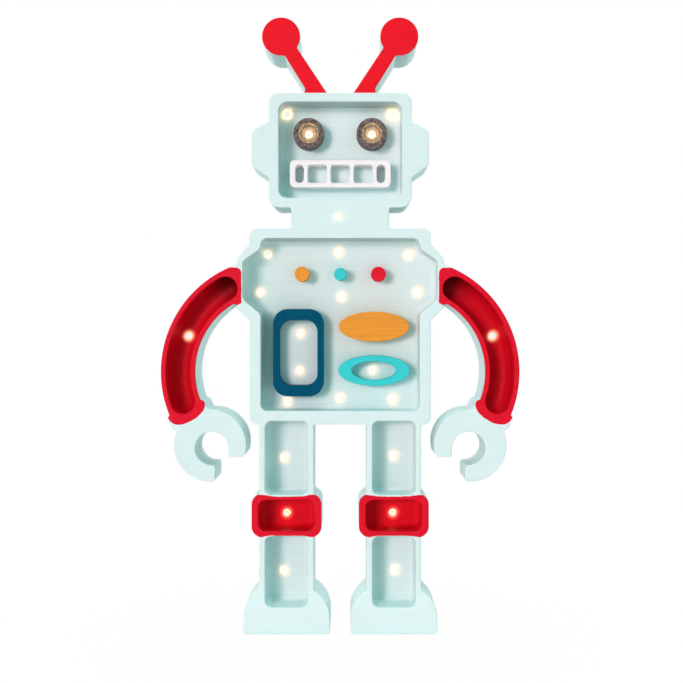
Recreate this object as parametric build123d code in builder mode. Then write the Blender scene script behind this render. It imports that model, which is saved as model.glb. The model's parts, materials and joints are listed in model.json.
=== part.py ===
"""Robot-shaped wooden lamp: one routed pine board with 25 small LEDs, glued-on wooden trim,
and its wiring, driver, dimmer, switch and inlet in a cavity behind a screwed back cover.

Millimetres. +X is to the right seen from the front, +Z is up, the front faces -Y.
The origin is under the middle of the whole lamp, at the soles of the feet.
"""
from build123d import *
import os
from math import atan2, cos, degrees, radians, sin

os.makedirs("parts", exist_ok=True)

# ---------------------------------------------------------------- depths, front to back
BOARD = 50.0             # thickness of the pine board
POCKET_DEPTH = 28.0      # routed pockets of head, torso, legs and knees
ARM_POCKET_DEPTH = 24.0  # the round-bottomed troughs of the arms
FLOOR = 6.0              # wood left between a pocket and the wiring cavity
COVER = 3.0              # back cover, flush in its rebate
COVER_FIT = 0.4          # gap round the cover's edge
LEDGE = 7.0              # width of the ledge that the cover is screwed to
TRIM = 16.0              # thickness of the glued-on wooden trim
BULB_PROUD = 4.5         # how far a bulb stands out of the wood
KNOB_PROUD = 9.0         # how far the dimmer knob stands out of the back

FRONT_Y = BULB_PROUD - (BULB_PROUD + BOARD + KNOB_PROUD) / 2
BACK_Y = FRONT_Y + BOARD
POCKET_Y = FRONT_Y + POCKET_DEPTH
ARM_POCKET_Y = FRONT_Y + ARM_POCKET_DEPTH
CAVITY_Y = POCKET_Y + FLOOR
COVER_Y = BACK_Y - COVER

# ---------------------------------------------------------------- edges and corners
EDGE_ROUND = 1.0         # sanded front and back edges
RIM_ROUND = 0.8          # sanded rims of the pockets
FLOOR_FILLET = 5.0       # ball-nosed cutter at a pocket's floor
POCKET_CORNER = 5.5
INSIDE_CORNER = 2.0      # cutter radius in the outline's inner corners
TRIM_ROUND = 0.6

# ---------------------------------------------------------------- legs and feet
LEG_X = 44.75            # middle of a leg
LEG_W = 45.5
LEG_H = 175.0            # floor to torso
LEG_WALL = 4.75          # wood beside a leg's pocket
FOOT_W = 72.5
FOOT_H = 41.0
FOOT_TOP_R = 28.0
FOOT_SOLE_R = 3.0
LOWER_POCKET_Z0 = 22.5   # lower edge of the lower leg's pocket
KNEE_W = 58.4
KNEE_H = 36.3
KNEE_Z = 99.0            # middle of the knee
KNEE_R = 9.0
KNEE_RIM_X = 5.8         # red rim beside and above the knee's pocket
KNEE_RIM_Z = 5.1
KNEE_POCKET_R = 6.5
LEG_TOP_WALL = 2.9       # how far the upper pocket runs past the torso's lower edge
SHARED_WALL = 4.2        # wood between a leg's pocket and the knee's pocket

# ---------------------------------------------------------------- torso
TORSO_W = 151.0
TORSO_H = 163.3
TORSO_CORNERS = [5.5, 4.0, 2.0, 3.0, 3.0, 6.0]   # radii, up the right side from the foot
TORSO_WALL = 9.2         # wood beside the torso's pocket
TORSO_TOP_WALL = 8.0
TORSO_FOOT_WALL = 11.3
SHOULDER_OUT = 11.0      # how far a shoulder stands out of the torso, where the arm joins
SHOULDER_TOP = 25.5      # from the torso's top down to the shoulder's upper corner
SHOULDER_FOOT = 66.3     # ... and to its lower corner
SHOULDER_SLOPE_TOP = 13.0
SHOULDER_SLOPE_FOOT = 10.0
SHOULDER_WALL = 5.1      # wood beside the pocket there
POCKET_SLOPE_TOP = 8.4   # from the pocket's top down to where its side slopes out
POCKET_SHOULDER_TOP = 19.0
POCKET_SHOULDER_FOOT = 51.0
POCKET_SLOPE_FOOT = 63.5

# ---------------------------------------------------------------- neck and head
NECK_W = 81.6
NECK_H = 17.5
HEAD_W = 119.2
HEAD_H = 95.5
HEAD_TOP_R = 7.5
CHIN_R = 10.0
HEAD_WALL = 8.1          # wood beside the head's pocket
HEAD_TOP_WALL = 7.2
CHIN_WALL = 8.0
HEAD_POCKET_R = 7.5
EAR_REACH = 14.4         # how far an ear stands out of the head
EAR_TOP = 24.0           # from the head's top down to the ear's root
EAR_SHOULDER = 31.5      # ... to its outer upper corner
EAR_JAW = 60.5           # ... to its outer lower corner
EAR_FOOT = 70.3          # ... to its lower root
EAR_R = 8.0
EAR_JAW_R = 5.0

# ---------------------------------------------------------------- antennae
ANTENNA_BALL_R = 15.9
ANTENNA_BALL_X = 49.3
ANTENNA_RISE = 47.2      # from the head's top to the ball's middle
ANTENNA_ROOT_X = 20.0
ANTENNA_STEM_W = 11.6
ANTENNA_HEEL_X = 29.3    # the stem's outer side drops straight to the head here
ANTENNA_FOOT_X = 11.0    # its inner side meets the head here
ROOT_SINK = 3.0          # how far the outline's members run into each other

# ---------------------------------------------------------------- arms and claws
ARM_R = 80.6             # radius of the arm's middle line
ARM_JOINT_DEG = 66.7     # where that line leaves the shoulder's side
ARM_JOINT_DROP = 45.4    # ... and how far below the torso's top
ARM_W = 28.8
ARM_ROOT_DEG = 72.0      # where the arm starts, inside the torso
ARM_CHANNEL_DEG = 76.0   # where its wiring channel starts, inside the torso's cavity
CUFF_DEG = -26.5         # where it ends, in the cuff
CUFF_W = 34.0
CUFF_L = 13.0
CUFF_R = 3.0
ARM_RIM = 4.2            # red rim beside the trough
TROUGH_IN = 10.4         # along the arm from the shoulder's side to the trough's upper end
TROUGH_FOOT_DEG = -18.0
TROUGH_FLAT = 1.4        # flat left along the bottom of the trough
CLAW_R = 30.2
CLAW_IN = 18.3           # from the cuff's middle in and down to the claw's centre
CLAW_DOWN = 25.4
CLAW_HOLE_R = 13.9
CLAW_HOLE_SHIFT = (-1.4, -2.5)   # the hole sits off centre, in and down
CLAW_TIP_IN = 4.4        # lower jaw ends this far in from the claw's centre
CLAW_UPPER_END = 9.5     # upper jaw ends this far below the claw's centre
JAW_OUTER_R = 4.0        # rounded corners of the upper jaw's end, outer and inner
JAW_INNER_R = 1.5
TIP_OUTER_R = 3.0        # ... and of the lower jaw's end
TIP_INNER_R = 2.5

# ---------------------------------------------------------------- places of the members
TORSO_Z = LEG_H
TORSO_TOP = TORSO_Z + TORSO_H
HEAD_Z = TORSO_TOP + NECK_H
HEAD_TOP = HEAD_Z + HEAD_H
BALL_Z = HEAD_TOP + ANTENNA_RISE
SHOULDER_X = TORSO_W / 2 + SHOULDER_OUT
ARM_X = SHOULDER_X - ARM_R * cos(radians(ARM_JOINT_DEG))
ARM_Z = TORSO_TOP - ARM_JOINT_DROP - ARM_R * sin(radians(ARM_JOINT_DEG))
TROUGH_TOP_DEG = ARM_JOINT_DEG - degrees(TROUGH_IN / ARM_R)
CUFF_X = ARM_X + ARM_R * cos(radians(CUFF_DEG))
CUFF_Z = ARM_Z + ARM_R * sin(radians(CUFF_DEG))
CLAW = (CUFF_X - CLAW_IN, CUFF_Z - CLAW_DOWN)
CLAW_HOLE = (CLAW[0] + CLAW_HOLE_SHIFT[0], CLAW[1] + CLAW_HOLE_SHIFT[1])

# ---------------------------------------------------------------- pockets
LEG_POCKET_W = LEG_W - 2 * LEG_WALL
KNEE_POCKET_W = KNEE_W - 2 * KNEE_RIM_X
KNEE_POCKET_H = KNEE_H - 2 * KNEE_RIM_Z
UPPER_POCKET_Z0 = KNEE_Z + KNEE_POCKET_H / 2 + SHARED_WALL
UPPER_POCKET_Z1 = TORSO_Z + LEG_TOP_WALL
UPPER_POCKET_MID = (UPPER_POCKET_Z0 + UPPER_POCKET_Z1) / 2
LOWER_POCKET_Z1 = KNEE_Z - KNEE_POCKET_H / 2 - SHARED_WALL
LOWER_POCKET_MID = (LOWER_POCKET_Z0 + LOWER_POCKET_Z1) / 2
TORSO_POCKET_X = TORSO_W / 2 - TORSO_WALL
TORSO_POCKET_Z0 = TORSO_Z + TORSO_FOOT_WALL
TORSO_POCKET_Z1 = TORSO_TOP - TORSO_TOP_WALL
POCKET_SHOULDER_X = SHOULDER_X - SHOULDER_WALL
HEAD_POCKET_W = HEAD_W - 2 * HEAD_WALL
HEAD_POCKET_Z0 = HEAD_Z + CHIN_WALL
HEAD_POCKET_Z1 = HEAD_TOP - HEAD_TOP_WALL
HEAD_POCKET_MID = (HEAD_POCKET_Z0 + HEAD_POCKET_Z1) / 2
TROUGH_W = ARM_W - 2 * ARM_RIM
TROUGH_FILLET = (TROUGH_W - TROUGH_FLAT) / 2

# ---------------------------------------------------------------- trim on the face and chest
EYE_R = 12.9
EYE_X = 26.7
EYE_DROP = 24.3          # from the pocket's top down to the eyes
EYE_DISH_R = 8.2
EYE_DISH_FLOOR_R = 4.6
EYE_DISH_DEPTH = 6.0
EYE_WEB = 4.0            # wood under the dish, which holds the bulb
MOUTH_W = 85.2
MOUTH_H = 23.2
MOUTH_R = 4.5
MOUTH_RISE = 21.7        # from the pocket's lower edge up to the mouth's middle
MOUTH_SIDE_BAR = 4.6     # frame to the left and right of the windows
MOUTH_BAR = 3.3          # bars between the windows
MOUTH_RAIL = 4.0         # frame above and below the windows
MOUTH_END_WINDOW = 7.3   # the two outer windows are narrow
MOUTH_WINDOW_R = 2.2
BUTTON_R = 6.2
SMALL_BUTTON_R = 5.2
BUTTON_DROP = 29.3       # from the pocket's top down to the row of buttons
BUTTON_PITCH = 32.3
FRAME_W = 42.6
FRAME_H = 73.8
FRAME_R = 12.5
FRAME_SIDE = 5.2
FRAME_END = 9.3
FRAME_HOLE_R = 10.0
FRAME_IN = 30.9          # from the pocket's side in to the frame's middle
FRAME_RISE = 48.3        # from the pocket's lower edge up to the frame's middle
OVAL_RX = 29.6
OVAL_RZ = 12.6
RING_RX = 30.2
RING_RZ = 12.8
RING_HOLE_RX = 19.0
RING_HOLE_RZ = 8.0
OVAL_IN = 37.9           # from the pocket's right side in to the ovals' middle
OVAL_RISE = 70.3
RING_RISE = 33.2

EYE_Z = HEAD_POCKET_Z1 - EYE_DROP
MOUTH_Z = HEAD_POCKET_Z0 + MOUTH_RISE
BUTTON_Z = TORSO_POCKET_Z1 - BUTTON_DROP
FRAME_X = FRAME_IN - TORSO_POCKET_X
FRAME_Z = TORSO_POCKET_Z0 + FRAME_RISE
OVAL_X = TORSO_POCKET_X - OVAL_IN
OVAL_Z = TORSO_POCKET_Z0 + OVAL_RISE
RING_Z = TORSO_POCKET_Z0 + RING_RISE

# ---------------------------------------------------------------- bulbs, sockets and wire
BULB_R = 3.0
BULB_HOLE_R = 3.1
BULB_FLANGE_R = 3.5
BULB_FLANGE = 1.0
SOCKET_R = 3.9
SOCKET_L = 6.0
SOCKET_HOLE_R = 4.4      # room round a socket in the cavity, and its bore where a bulb sits deeper
WIRE_R = 0.9
WIRE_GAP = 0.05          # wire to socket

# ---------------------------------------------------------------- cavity and cover
CAVITY_INSET = 5.0       # cavity's edge inside the pocket's edge, torso and head
CAVITY_CORNER = 5.0
COVER_CORNER = 1.5
NECK_CHANNEL_W = 30.0
LEG_CHANNEL_W = 16.0
LEG_CHANNEL_Z = 40.0     # lower end of a leg's channel
ARM_CHANNEL_W = 9.0
SCREW_R = 1.25
SCREW_L = 12.0
SCREW_HEAD_R = 2.5
SCREW_HEAD_L = 1.3
SCREW_FREE = 0.2         # radial gap of the shank in the cover
SCREW_FIT = 0.05
SCREW_SLOT_W = 0.8
SCREW_SLOT_D = 0.7
SCREW_CORNER = 14.0      # cover screws in from the head pocket's corners
TORSO_SCREW_IN = 12.0    # ... and from the torso pocket's corners
TORSO_SCREW_RISE = 60.0  # ... up the torso's side
THIGH_SCREW_RISE = 40.0  # ... above the knee's middle
SHIN_SCREW_RISE = 10.0   # ... above the channel's end
SCREW_TURN_DEG = 30.0    # how the screws' cross slots happen to stand

# ---------------------------------------------------------------- controls on the back cover
INLET_RISE = 36.0        # heights above the torso's lower edge
SWITCH_RISE = 65.0
DIMMER_RISE = 89.0
PANEL_FIT = 0.2          # radial gap of what passes through the cover

SWITCH_W = 12.8
SWITCH_H = 18.6
SWITCH_DEPTH = 10.0
BEZEL_RIM = 1.2
BEZEL = 1.8
WELL_W = 10.0
WELL_R = 8.8             # the well's end walls clear the rocker's round ends
WELL_DEPTH = 5.6         # below the pivot
ROCKER_GAP = 0.3
ROCKER_TILT = 9.0        # rests switched on, tilted this far
ROCKER_END_DEG = 22.0    # the ends' edges stand this far above the pivot's level
ROCKER_FOOT_DEG = 18.0   # ... and this far below it
ROCKER_VALLEY = 1.9      # the paddle's middle above the pivot
ROCKER_PIN_R = 1.0
ROCKER_PIN_L = 0.9
PIN_FIT = 0.05
PIVOT_SINK = 0.5         # pivot below the cover's outer face
TERMINAL_W = 2.8
TERMINAL_T = 0.6
TERMINAL_L = 2.4

PCB_W = 44.0
PCB_H = 24.0
PCB_T = 1.6
STANDOFF = 2.0
STANDOFF_R = 2.2
PCB_SCREW_R = 1.1
PCB_SCREW_HEAD_R = 2.0
PCB_SCREW_HEAD = 1.3
PCB_SCREW_GRIP = 3.5     # length in the wood
PCB_EDGE = 3.2           # screws in from the board's edges
POT_W = 11.0
POT_H = 11.0
POT_BODY = 6.0
BUSHING_R = 3.5
NUT_R = 5.6              # across the corners
NUT = 1.6
NUT_CLEAR = 0.5          # bushing past its nut
SHAFT_R = 3.0
SHAFT_FIT = 0.05
SHAFT_SEAT = 1.5         # the pot body's wall under the shaft's end
KNOB_R = 9.0
KNOB_GAP = 0.6           # knob to cover
KNOB_FLUTES = 18
KNOB_FLUTE_R = 0.7
KNOB_TOP = 2.6           # knob's face over its hollow
KNOB_ROUND = 1.0
KNOB_HOLLOW_R = 7.0
KNOB_BOSS_R = 4.6
KNOB_POINTER_W = 1.2
KNOB_POINTER_L = 7.5
KNOB_POINTER_D = 0.5
CHIP = (9.0, 6.0, 1.8)    # width, height, thickness
COIL_R = 3.4
COIL_L = 4.0
CHIP_X = 12.0            # parts on the board, out from the dimmer
PART_RISE = PCB_H / 5    # ... and above or below it

INLET_R = 3.9
INLET_NECK_R = 4.0
INLET_FLANGE_R = 6.5
INLET_FLANGE = 1.6
INLET_BODY = 7.0
INLET_NUT = 2.0
INLET_NUT_R = 6.2
INLET_BORE_R = 2.85
INLET_BORE = 9.5
INLET_PIN_R = 1.0
INLET_PIN_SHORT = 1.5    # pin's end behind the mouth
INLET_ROUND = 0.5
RETURN_X = 11.0          # the return wire passes the switch this far out
RETURN_BEND = 4.0
WIRE_ON_BOARD = 3.0      # how far the supply wires run onto the board

INLET_Z = TORSO_Z + INLET_RISE
SWITCH_Z = TORSO_Z + SWITCH_RISE
DIMMER_Z = TORSO_Z + DIMMER_RISE
PIVOT_Y = BACK_Y - PIVOT_SINK
PCB_Y = CAVITY_Y + STANDOFF
POT_Y = PCB_Y + PCB_T

# ---------------------------------------------------------------- bulb places, (x, z)
HEAD_BULBS = [
    (-HEAD_POCKET_W / 2 + 6.4, HEAD_POCKET_Z1 - 6.2),
    (HEAD_POCKET_W / 2 - 7.5, HEAD_POCKET_Z1 - 5.7),
]
EYE_BULBS = [(-EYE_X, EYE_Z), (EYE_X, EYE_Z)]
NECK_BULBS = [(-1.4, HEAD_Z - 7.5)]
SHOULDER_BULBS = [
    (-POCKET_SHOULDER_X + 19.2, TORSO_POCKET_Z1 - 11.8),
    (-1.6, TORSO_POCKET_Z1 - 9.7),
    (POCKET_SHOULDER_X - 23.4, TORSO_POCKET_Z1 - 12.3),
    (POCKET_SHOULDER_X - 15.7, TORSO_POCKET_Z1 - 44.2),
    (0.9, TORSO_POCKET_Z1 - 48.1),
    (-POCKET_SHOULDER_X + 12.4, TORSO_POCKET_Z1 - 44.2),
]
BELLY_BULBS = [
    (FRAME_X + 1.4, FRAME_Z + 16.6),
    (FRAME_X + 0.5, FRAME_Z - 15.8),
    (-TORSO_POCKET_X + 21.2, TORSO_POCKET_Z0 + 7.0),
    (-0.4, TORSO_POCKET_Z0 + 9.5),
    (TORSO_POCKET_X - 21.5, TORSO_POCKET_Z0 + 8.6),
    (OVAL_X - 0.6, RING_Z - 0.3),
]
TORSO_BULBS = SHOULDER_BULBS + BELLY_BULBS
ARM_BULB_DEG = 21.7
UPPER_BULBS = [(-LEG_X - 3.7, UPPER_POCKET_MID - 2.5), (LEG_X + 0.6, UPPER_POCKET_MID - 0.8)]
KNEE_BULBS = [(-LEG_X - 1.2, KNEE_Z - 1.7), (LEG_X, KNEE_Z - 1.7)]
LOWER_BULBS = [(-LEG_X - 3.7, LOWER_POCKET_MID - 4.2), (LEG_X + 1.8, LOWER_POCKET_MID - 3.4)]


# ================================================================ helpers
def facing(y):
    """Sketch plane across the lamp at depth y: local x is X, local y is Z, and it faces the front."""
    return Plane.XZ.offset(-y)


def on_arm(angle, radius=ARM_R):
    """A point on the right arm's curve."""
    return (ARM_X + radius * cos(radians(angle)), ARM_Z + radius * sin(radians(angle)))


def torso_points():
    """Corners of the torso's pocket, round from the lower left."""
    right = [
        (TORSO_POCKET_X, TORSO_POCKET_Z0),
        (TORSO_POCKET_X, TORSO_POCKET_Z1 - POCKET_SLOPE_FOOT),
        (POCKET_SHOULDER_X, TORSO_POCKET_Z1 - POCKET_SHOULDER_FOOT),
        (POCKET_SHOULDER_X, TORSO_POCKET_Z1 - POCKET_SHOULDER_TOP),
        (TORSO_POCKET_X, TORSO_POCKET_Z1 - POCKET_SLOPE_TOP),
        (TORSO_POCKET_X, TORSO_POCKET_Z1),
    ]
    return right + [(-x, z) for x, z in reversed(right)]


def nearest(sketch, x, z):
    """The sketch's corner nearest to a point."""
    return sketch.vertices().sort_by_distance((x, z))[0]


def sharp_corners(part):
    """Upright edges where two side faces meet at an angle, not in a smooth run."""
    faces = part.faces()

    def turn(edge):
        a, b = [face for face in faces if any(edge.is_same(other) for other in face.edges())]
        return a.normal_at(edge.center()).get_angle(b.normal_at(edge.center()))

    return part.edges().filter_by(Axis.Y).filter_by(lambda edge: turn(edge) > 5)


def finish(part, name, colour):
    part.label = name
    part.color = Color(*colour)
    export_step(part, f"parts/{name}.step")


MINT = (0.80, 0.90, 0.88)
RED = (0.85, 0.08, 0.10)
ORANGE = (0.93, 0.56, 0.16)
TURQUOISE = (0.15, 0.80, 0.84)
NAVY = (0.0, 0.28, 0.42)
BROWN = (0.30, 0.24, 0.23)
WHITE = (0.95, 0.93, 0.93)
WARM = (1.0, 0.93, 0.75)
BLACK = (0.06, 0.06, 0.06)
PLY = (0.78, 0.66, 0.48)
STEEL = (0.65, 0.66, 0.68)
BRASS = (0.75, 0.62, 0.30)
GREEN = (0.05, 0.35, 0.18)

# ================================================================ outline of the board
with BuildSketch() as claw:
    with Locations(CLAW):
        Circle(CLAW_R)
    with Locations(CLAW_HOLE):
        Circle(CLAW_HOLE_R, mode=Mode.SUBTRACT)
    tip_x = CLAW[0] - CLAW_TIP_IN
    inner_x = CLAW_HOLE[0] - CLAW_HOLE_R
    end_z = CLAW[1] - CLAW_UPPER_END
    with Locations((tip_x, CLAW_HOLE[1])):
        Rectangle(tip_x - inner_x, CLAW_R + CLAW_HOLE_R, align=(Align.MAX, Align.MAX), mode=Mode.SUBTRACT)
    with Locations((tip_x, end_z)):
        Rectangle(CLAW_R, CLAW_R, align=(Align.MAX, Align.MAX), mode=Mode.SUBTRACT)
    outer_x = CLAW[0] - (CLAW_R**2 - CLAW_UPPER_END**2) ** 0.5
    fillet(nearest(claw, outer_x, end_z), radius=JAW_OUTER_R)
    fillet(nearest(claw, inner_x, end_z), radius=JAW_INNER_R)
    fillet(nearest(claw, tip_x, CLAW[1] - CLAW_R), radius=TIP_OUTER_R)
    fillet(nearest(claw, tip_x, CLAW_HOLE[1] - CLAW_HOLE_R), radius=TIP_INNER_R)

with BuildSketch() as ear:
    with BuildLine():
        FilletPolyline(
            (HEAD_W / 2 - ROOT_SINK, HEAD_TOP - EAR_TOP),
            (HEAD_W / 2, HEAD_TOP - EAR_TOP),
            (HEAD_W / 2 + EAR_REACH, HEAD_TOP - EAR_SHOULDER),
            (HEAD_W / 2 + EAR_REACH, HEAD_TOP - EAR_JAW),
            (HEAD_W / 2, HEAD_TOP - EAR_FOOT),
            (HEAD_W / 2 - ROOT_SINK, HEAD_TOP - EAR_FOOT),
            radius=[0, 0, EAR_R, EAR_JAW_R, 0, 0],
            close=True,
        )
    make_face()

with BuildSketch() as outline:
    with BuildLine():
        span = ARM_ROOT_DEG - CUFF_DEG
        outer = CenterArc((ARM_X, ARM_Z), ARM_R + ARM_W / 2, CUFF_DEG, span)
        inner = CenterArc((ARM_X, ARM_Z), ARM_R - ARM_W / 2, CUFF_DEG, span)
        Line(outer @ 0, inner @ 0)
        Line(outer @ 1, inner @ 1)
    make_face()
    with Locations((CUFF_X, CUFF_Z)):
        RectangleRounded(CUFF_W, CUFF_L, CUFF_R, rotation=CUFF_DEG)
    add(claw.sketch)
    add(ear.sketch)
    # antenna: ball, slanted stem and its upright heel
    root = Vector(ANTENNA_ROOT_X, HEAD_TOP)
    ball = Vector(ANTENNA_BALL_X, BALL_Z)
    along = (ball - root).normalized()
    across = Vector(along.Y, -along.X) * (ANTENNA_STEM_W / 2)
    foot_in = Vector(ANTENNA_FOOT_X, HEAD_TOP)
    low_in = foot_in + (foot_in - (ball - across)).normalized() * ROOT_SINK
    heel_out = root + across + along * ((ANTENNA_HEEL_X - (root + across).X) / along.X)
    with Locations((ball.X, ball.Y)):
        Circle(ANTENNA_BALL_R)
    with BuildLine():
        Polyline(
            (low_in.X, low_in.Y),
            ((ball - across).X, (ball - across).Y),
            ((ball + across).X, (ball + across).Y),
            (heel_out.X, heel_out.Y),
            (ANTENNA_HEEL_X, HEAD_TOP - ROOT_SINK),
            close=True,
        )
    make_face()
    # leg, knee and foot
    with Locations((LEG_X, LEG_H / 2)):
        Rectangle(LEG_W, LEG_H + 2 * ROOT_SINK - 2 * FOOT_SOLE_R)
    with Locations((LEG_X, KNEE_Z)):
        RectangleRounded(KNEE_W, KNEE_H, KNEE_R)
    with BuildLine():
        foot = FilletPolyline(
            (LEG_X - FOOT_W / 2, 0),
            (LEG_X + FOOT_W / 2, 0),
            (LEG_X + FOOT_W / 2, FOOT_H),
            (LEG_X - FOOT_W / 2, FOOT_H),
            radius=[FOOT_SOLE_R, FOOT_SOLE_R, FOOT_TOP_R, FOOT_TOP_R],
            close=True,
        )
    make_face()
    mirror(about=Plane.YZ)
    # torso with its shoulders, neck, head
    with BuildLine():
        right = [
            (TORSO_W / 2, TORSO_Z),
            (TORSO_W / 2, TORSO_TOP - SHOULDER_FOOT - SHOULDER_SLOPE_FOOT),
            (SHOULDER_X, TORSO_TOP - SHOULDER_FOOT),
            (SHOULDER_X, TORSO_TOP - SHOULDER_TOP),
            (TORSO_W / 2, TORSO_TOP - SHOULDER_TOP + SHOULDER_SLOPE_TOP),
            (TORSO_W / 2, TORSO_TOP),
        ]
        FilletPolyline(
            *right,
            *[(-x, z) for x, z in reversed(right)],
            radius=TORSO_CORNERS + TORSO_CORNERS[::-1],
            close=True,
        )
    make_face()
    with Locations((0, (TORSO_TOP + HEAD_Z) / 2)):
        Rectangle(NECK_W, NECK_H + 2 * ROOT_SINK)
    with BuildLine():
        FilletPolyline(
            (-HEAD_W / 2, HEAD_Z),
            (HEAD_W / 2, HEAD_Z),
            (HEAD_W / 2, HEAD_TOP),
            (-HEAD_W / 2, HEAD_TOP),
            radius=[CHIN_R, CHIN_R, HEAD_TOP_R, HEAD_TOP_R],
            close=True,
        )
    make_face()


# ================================================================ cavity and cover outline
def back_outline(grow):
    """Joined outline of the wiring cavity behind torso, head, neck, legs and arms, grown all round."""
    with BuildSketch() as plan:
        with BuildLine():
            Polyline(*torso_points(), close=True)
        make_face()
        offset(amount=grow - CAVITY_INSET, kind=Kind.INTERSECTION)
        fillet(plan.vertices(), radius=COVER_CORNER)
        with Locations((0, HEAD_POCKET_MID)):
            width = HEAD_POCKET_W - 2 * CAVITY_INSET + 2 * grow
            height = HEAD_POCKET_Z1 - HEAD_POCKET_Z0 - 2 * CAVITY_INSET + 2 * grow
            RectangleRounded(width, height, CAVITY_CORNER)
        with Locations((0, (TORSO_TOP + HEAD_Z) / 2)):
            Rectangle(NECK_CHANNEL_W + 2 * grow, NECK_H + 2 * (TORSO_TOP_WALL + CHIN_WALL))
        leg_top = TORSO_POCKET_Z0 + CAVITY_INSET + ROOT_SINK
        for side in (-1, 1):
            with Locations((side * LEG_X, (leg_top + LEG_CHANNEL_Z) / 2)):
                Rectangle(LEG_CHANNEL_W + 2 * grow, leg_top - LEG_CHANNEL_Z + 2 * grow)
        span = ARM_CHANNEL_DEG - ARM_BULB_DEG
        arm = CenterArc((ARM_X, ARM_Z), ARM_R, ARM_BULB_DEG, span, mode=Mode.PRIVATE)
        SlotArc(arm, ARM_CHANNEL_W + 2 * grow)
        SlotArc(arm.mirror(Plane.YZ), ARM_CHANNEL_W + 2 * grow)
    return plan.sketch


# (x, z) of the cover's screws, all along the middle of the ledge
SCREW_IN = CAVITY_INSET - LEDGE / 2
LEG_SCREW_X = LEG_CHANNEL_W / 2 + LEDGE / 2
ARM_END = on_arm(ARM_BULB_DEG - degrees((ARM_CHANNEL_W + LEDGE) / 2 / ARM_R))
SCREWS = []
for side in (-1, 1):
    SCREWS += [
        (side * (HEAD_POCKET_W / 2 - SCREW_IN), HEAD_POCKET_Z1 - SCREW_CORNER),
        (side * (HEAD_POCKET_W / 2 - SCREW_IN), HEAD_POCKET_Z0 + SCREW_CORNER),
        (side * (TORSO_POCKET_X - TORSO_SCREW_IN), TORSO_POCKET_Z1 - SCREW_IN),
        (side * (TORSO_POCKET_X - SCREW_IN), TORSO_POCKET_Z0 + TORSO_SCREW_RISE),
        (side * (TORSO_POCKET_X - SCREW_IN), TORSO_POCKET_Z0 + TORSO_SCREW_IN),
        (side * (LEG_X + LEG_SCREW_X), KNEE_Z + THIGH_SCREW_RISE),
        (side * (LEG_X + LEG_SCREW_X), LEG_CHANNEL_Z + SHIN_SCREW_RISE),
        (side * ARM_END[0], ARM_END[1]),
    ]

# (x, z) of the driver board's four screws
PCB_HOLES = [
    (x * (PCB_W / 2 - PCB_EDGE), DIMMER_Z + z * (PCB_H / 2 - PCB_EDGE)) for x in (-1, 1) for z in (-1, 1)
]

# ================================================================ bulbs, sockets, wire
# name: (places, depth of the wood's face that the bulb pokes out of, wood behind that face)
BULBS = {
    "head_bulbs": (HEAD_BULBS, POCKET_Y, FLOOR),
    "eye_bulbs": (EYE_BULBS, POCKET_Y - TRIM + EYE_DISH_DEPTH, EYE_WEB),
    "neck_bulb": (NECK_BULBS, FRONT_Y, FLOOR),
    "torso_bulbs": (TORSO_BULBS, POCKET_Y, FLOOR),
    "arm_bulbs": (
        [(-on_arm(ARM_BULB_DEG)[0], on_arm(ARM_BULB_DEG)[1]), on_arm(ARM_BULB_DEG)],
        ARM_POCKET_Y,
        FLOOR,
    ),
    "upper_leg_bulbs": (UPPER_BULBS, POCKET_Y, FLOOR),
    "knee_bulbs": (KNEE_BULBS, POCKET_Y, FLOOR),
    "lower_leg_bulbs": (LOWER_BULBS, POCKET_Y, FLOOR),
}
SOCKET_END = CAVITY_Y + BULB_FLANGE + SOCKET_L
WIRE_Y = SOCKET_END - SOCKET_L / 2

for name, (places, face_y, web) in BULBS.items():
    with BuildPart() as bulbs:
        for x, z in places:
            with BuildSketch(Plane((x, face_y, z), x_dir=(1, 0, 0), z_dir=(0, 0, 1))):
                with BuildLine():
                    tip = -BULB_PROUD
                    Line((0, tip), (0, web + BULB_FLANGE))
                    Line((0, web + BULB_FLANGE), (BULB_FLANGE_R, web + BULB_FLANGE))
                    Line((BULB_FLANGE_R, web + BULB_FLANGE), (BULB_FLANGE_R, web))
                    Line((BULB_FLANGE_R, web), (BULB_R, web))
                    Line((BULB_R, web), (BULB_R, tip + BULB_R))
                    CenterArc((0, tip + BULB_R), BULB_R, 0, -90)
                make_face()
            revolve(axis=Axis((x, 0, z), (0, 1, 0)))
    finish(bulbs.part, name, WARM)

with BuildPart() as sockets:
    for places, face_y, web in BULBS.values():
        start = face_y + web + BULB_FLANGE
        with BuildSketch(facing(SOCKET_END)):
            with Locations(*places):
                Circle(SOCKET_R)
        extrude(amount=SOCKET_END - start)
finish(sockets.part, "bulb_sockets", BLACK)

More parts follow.
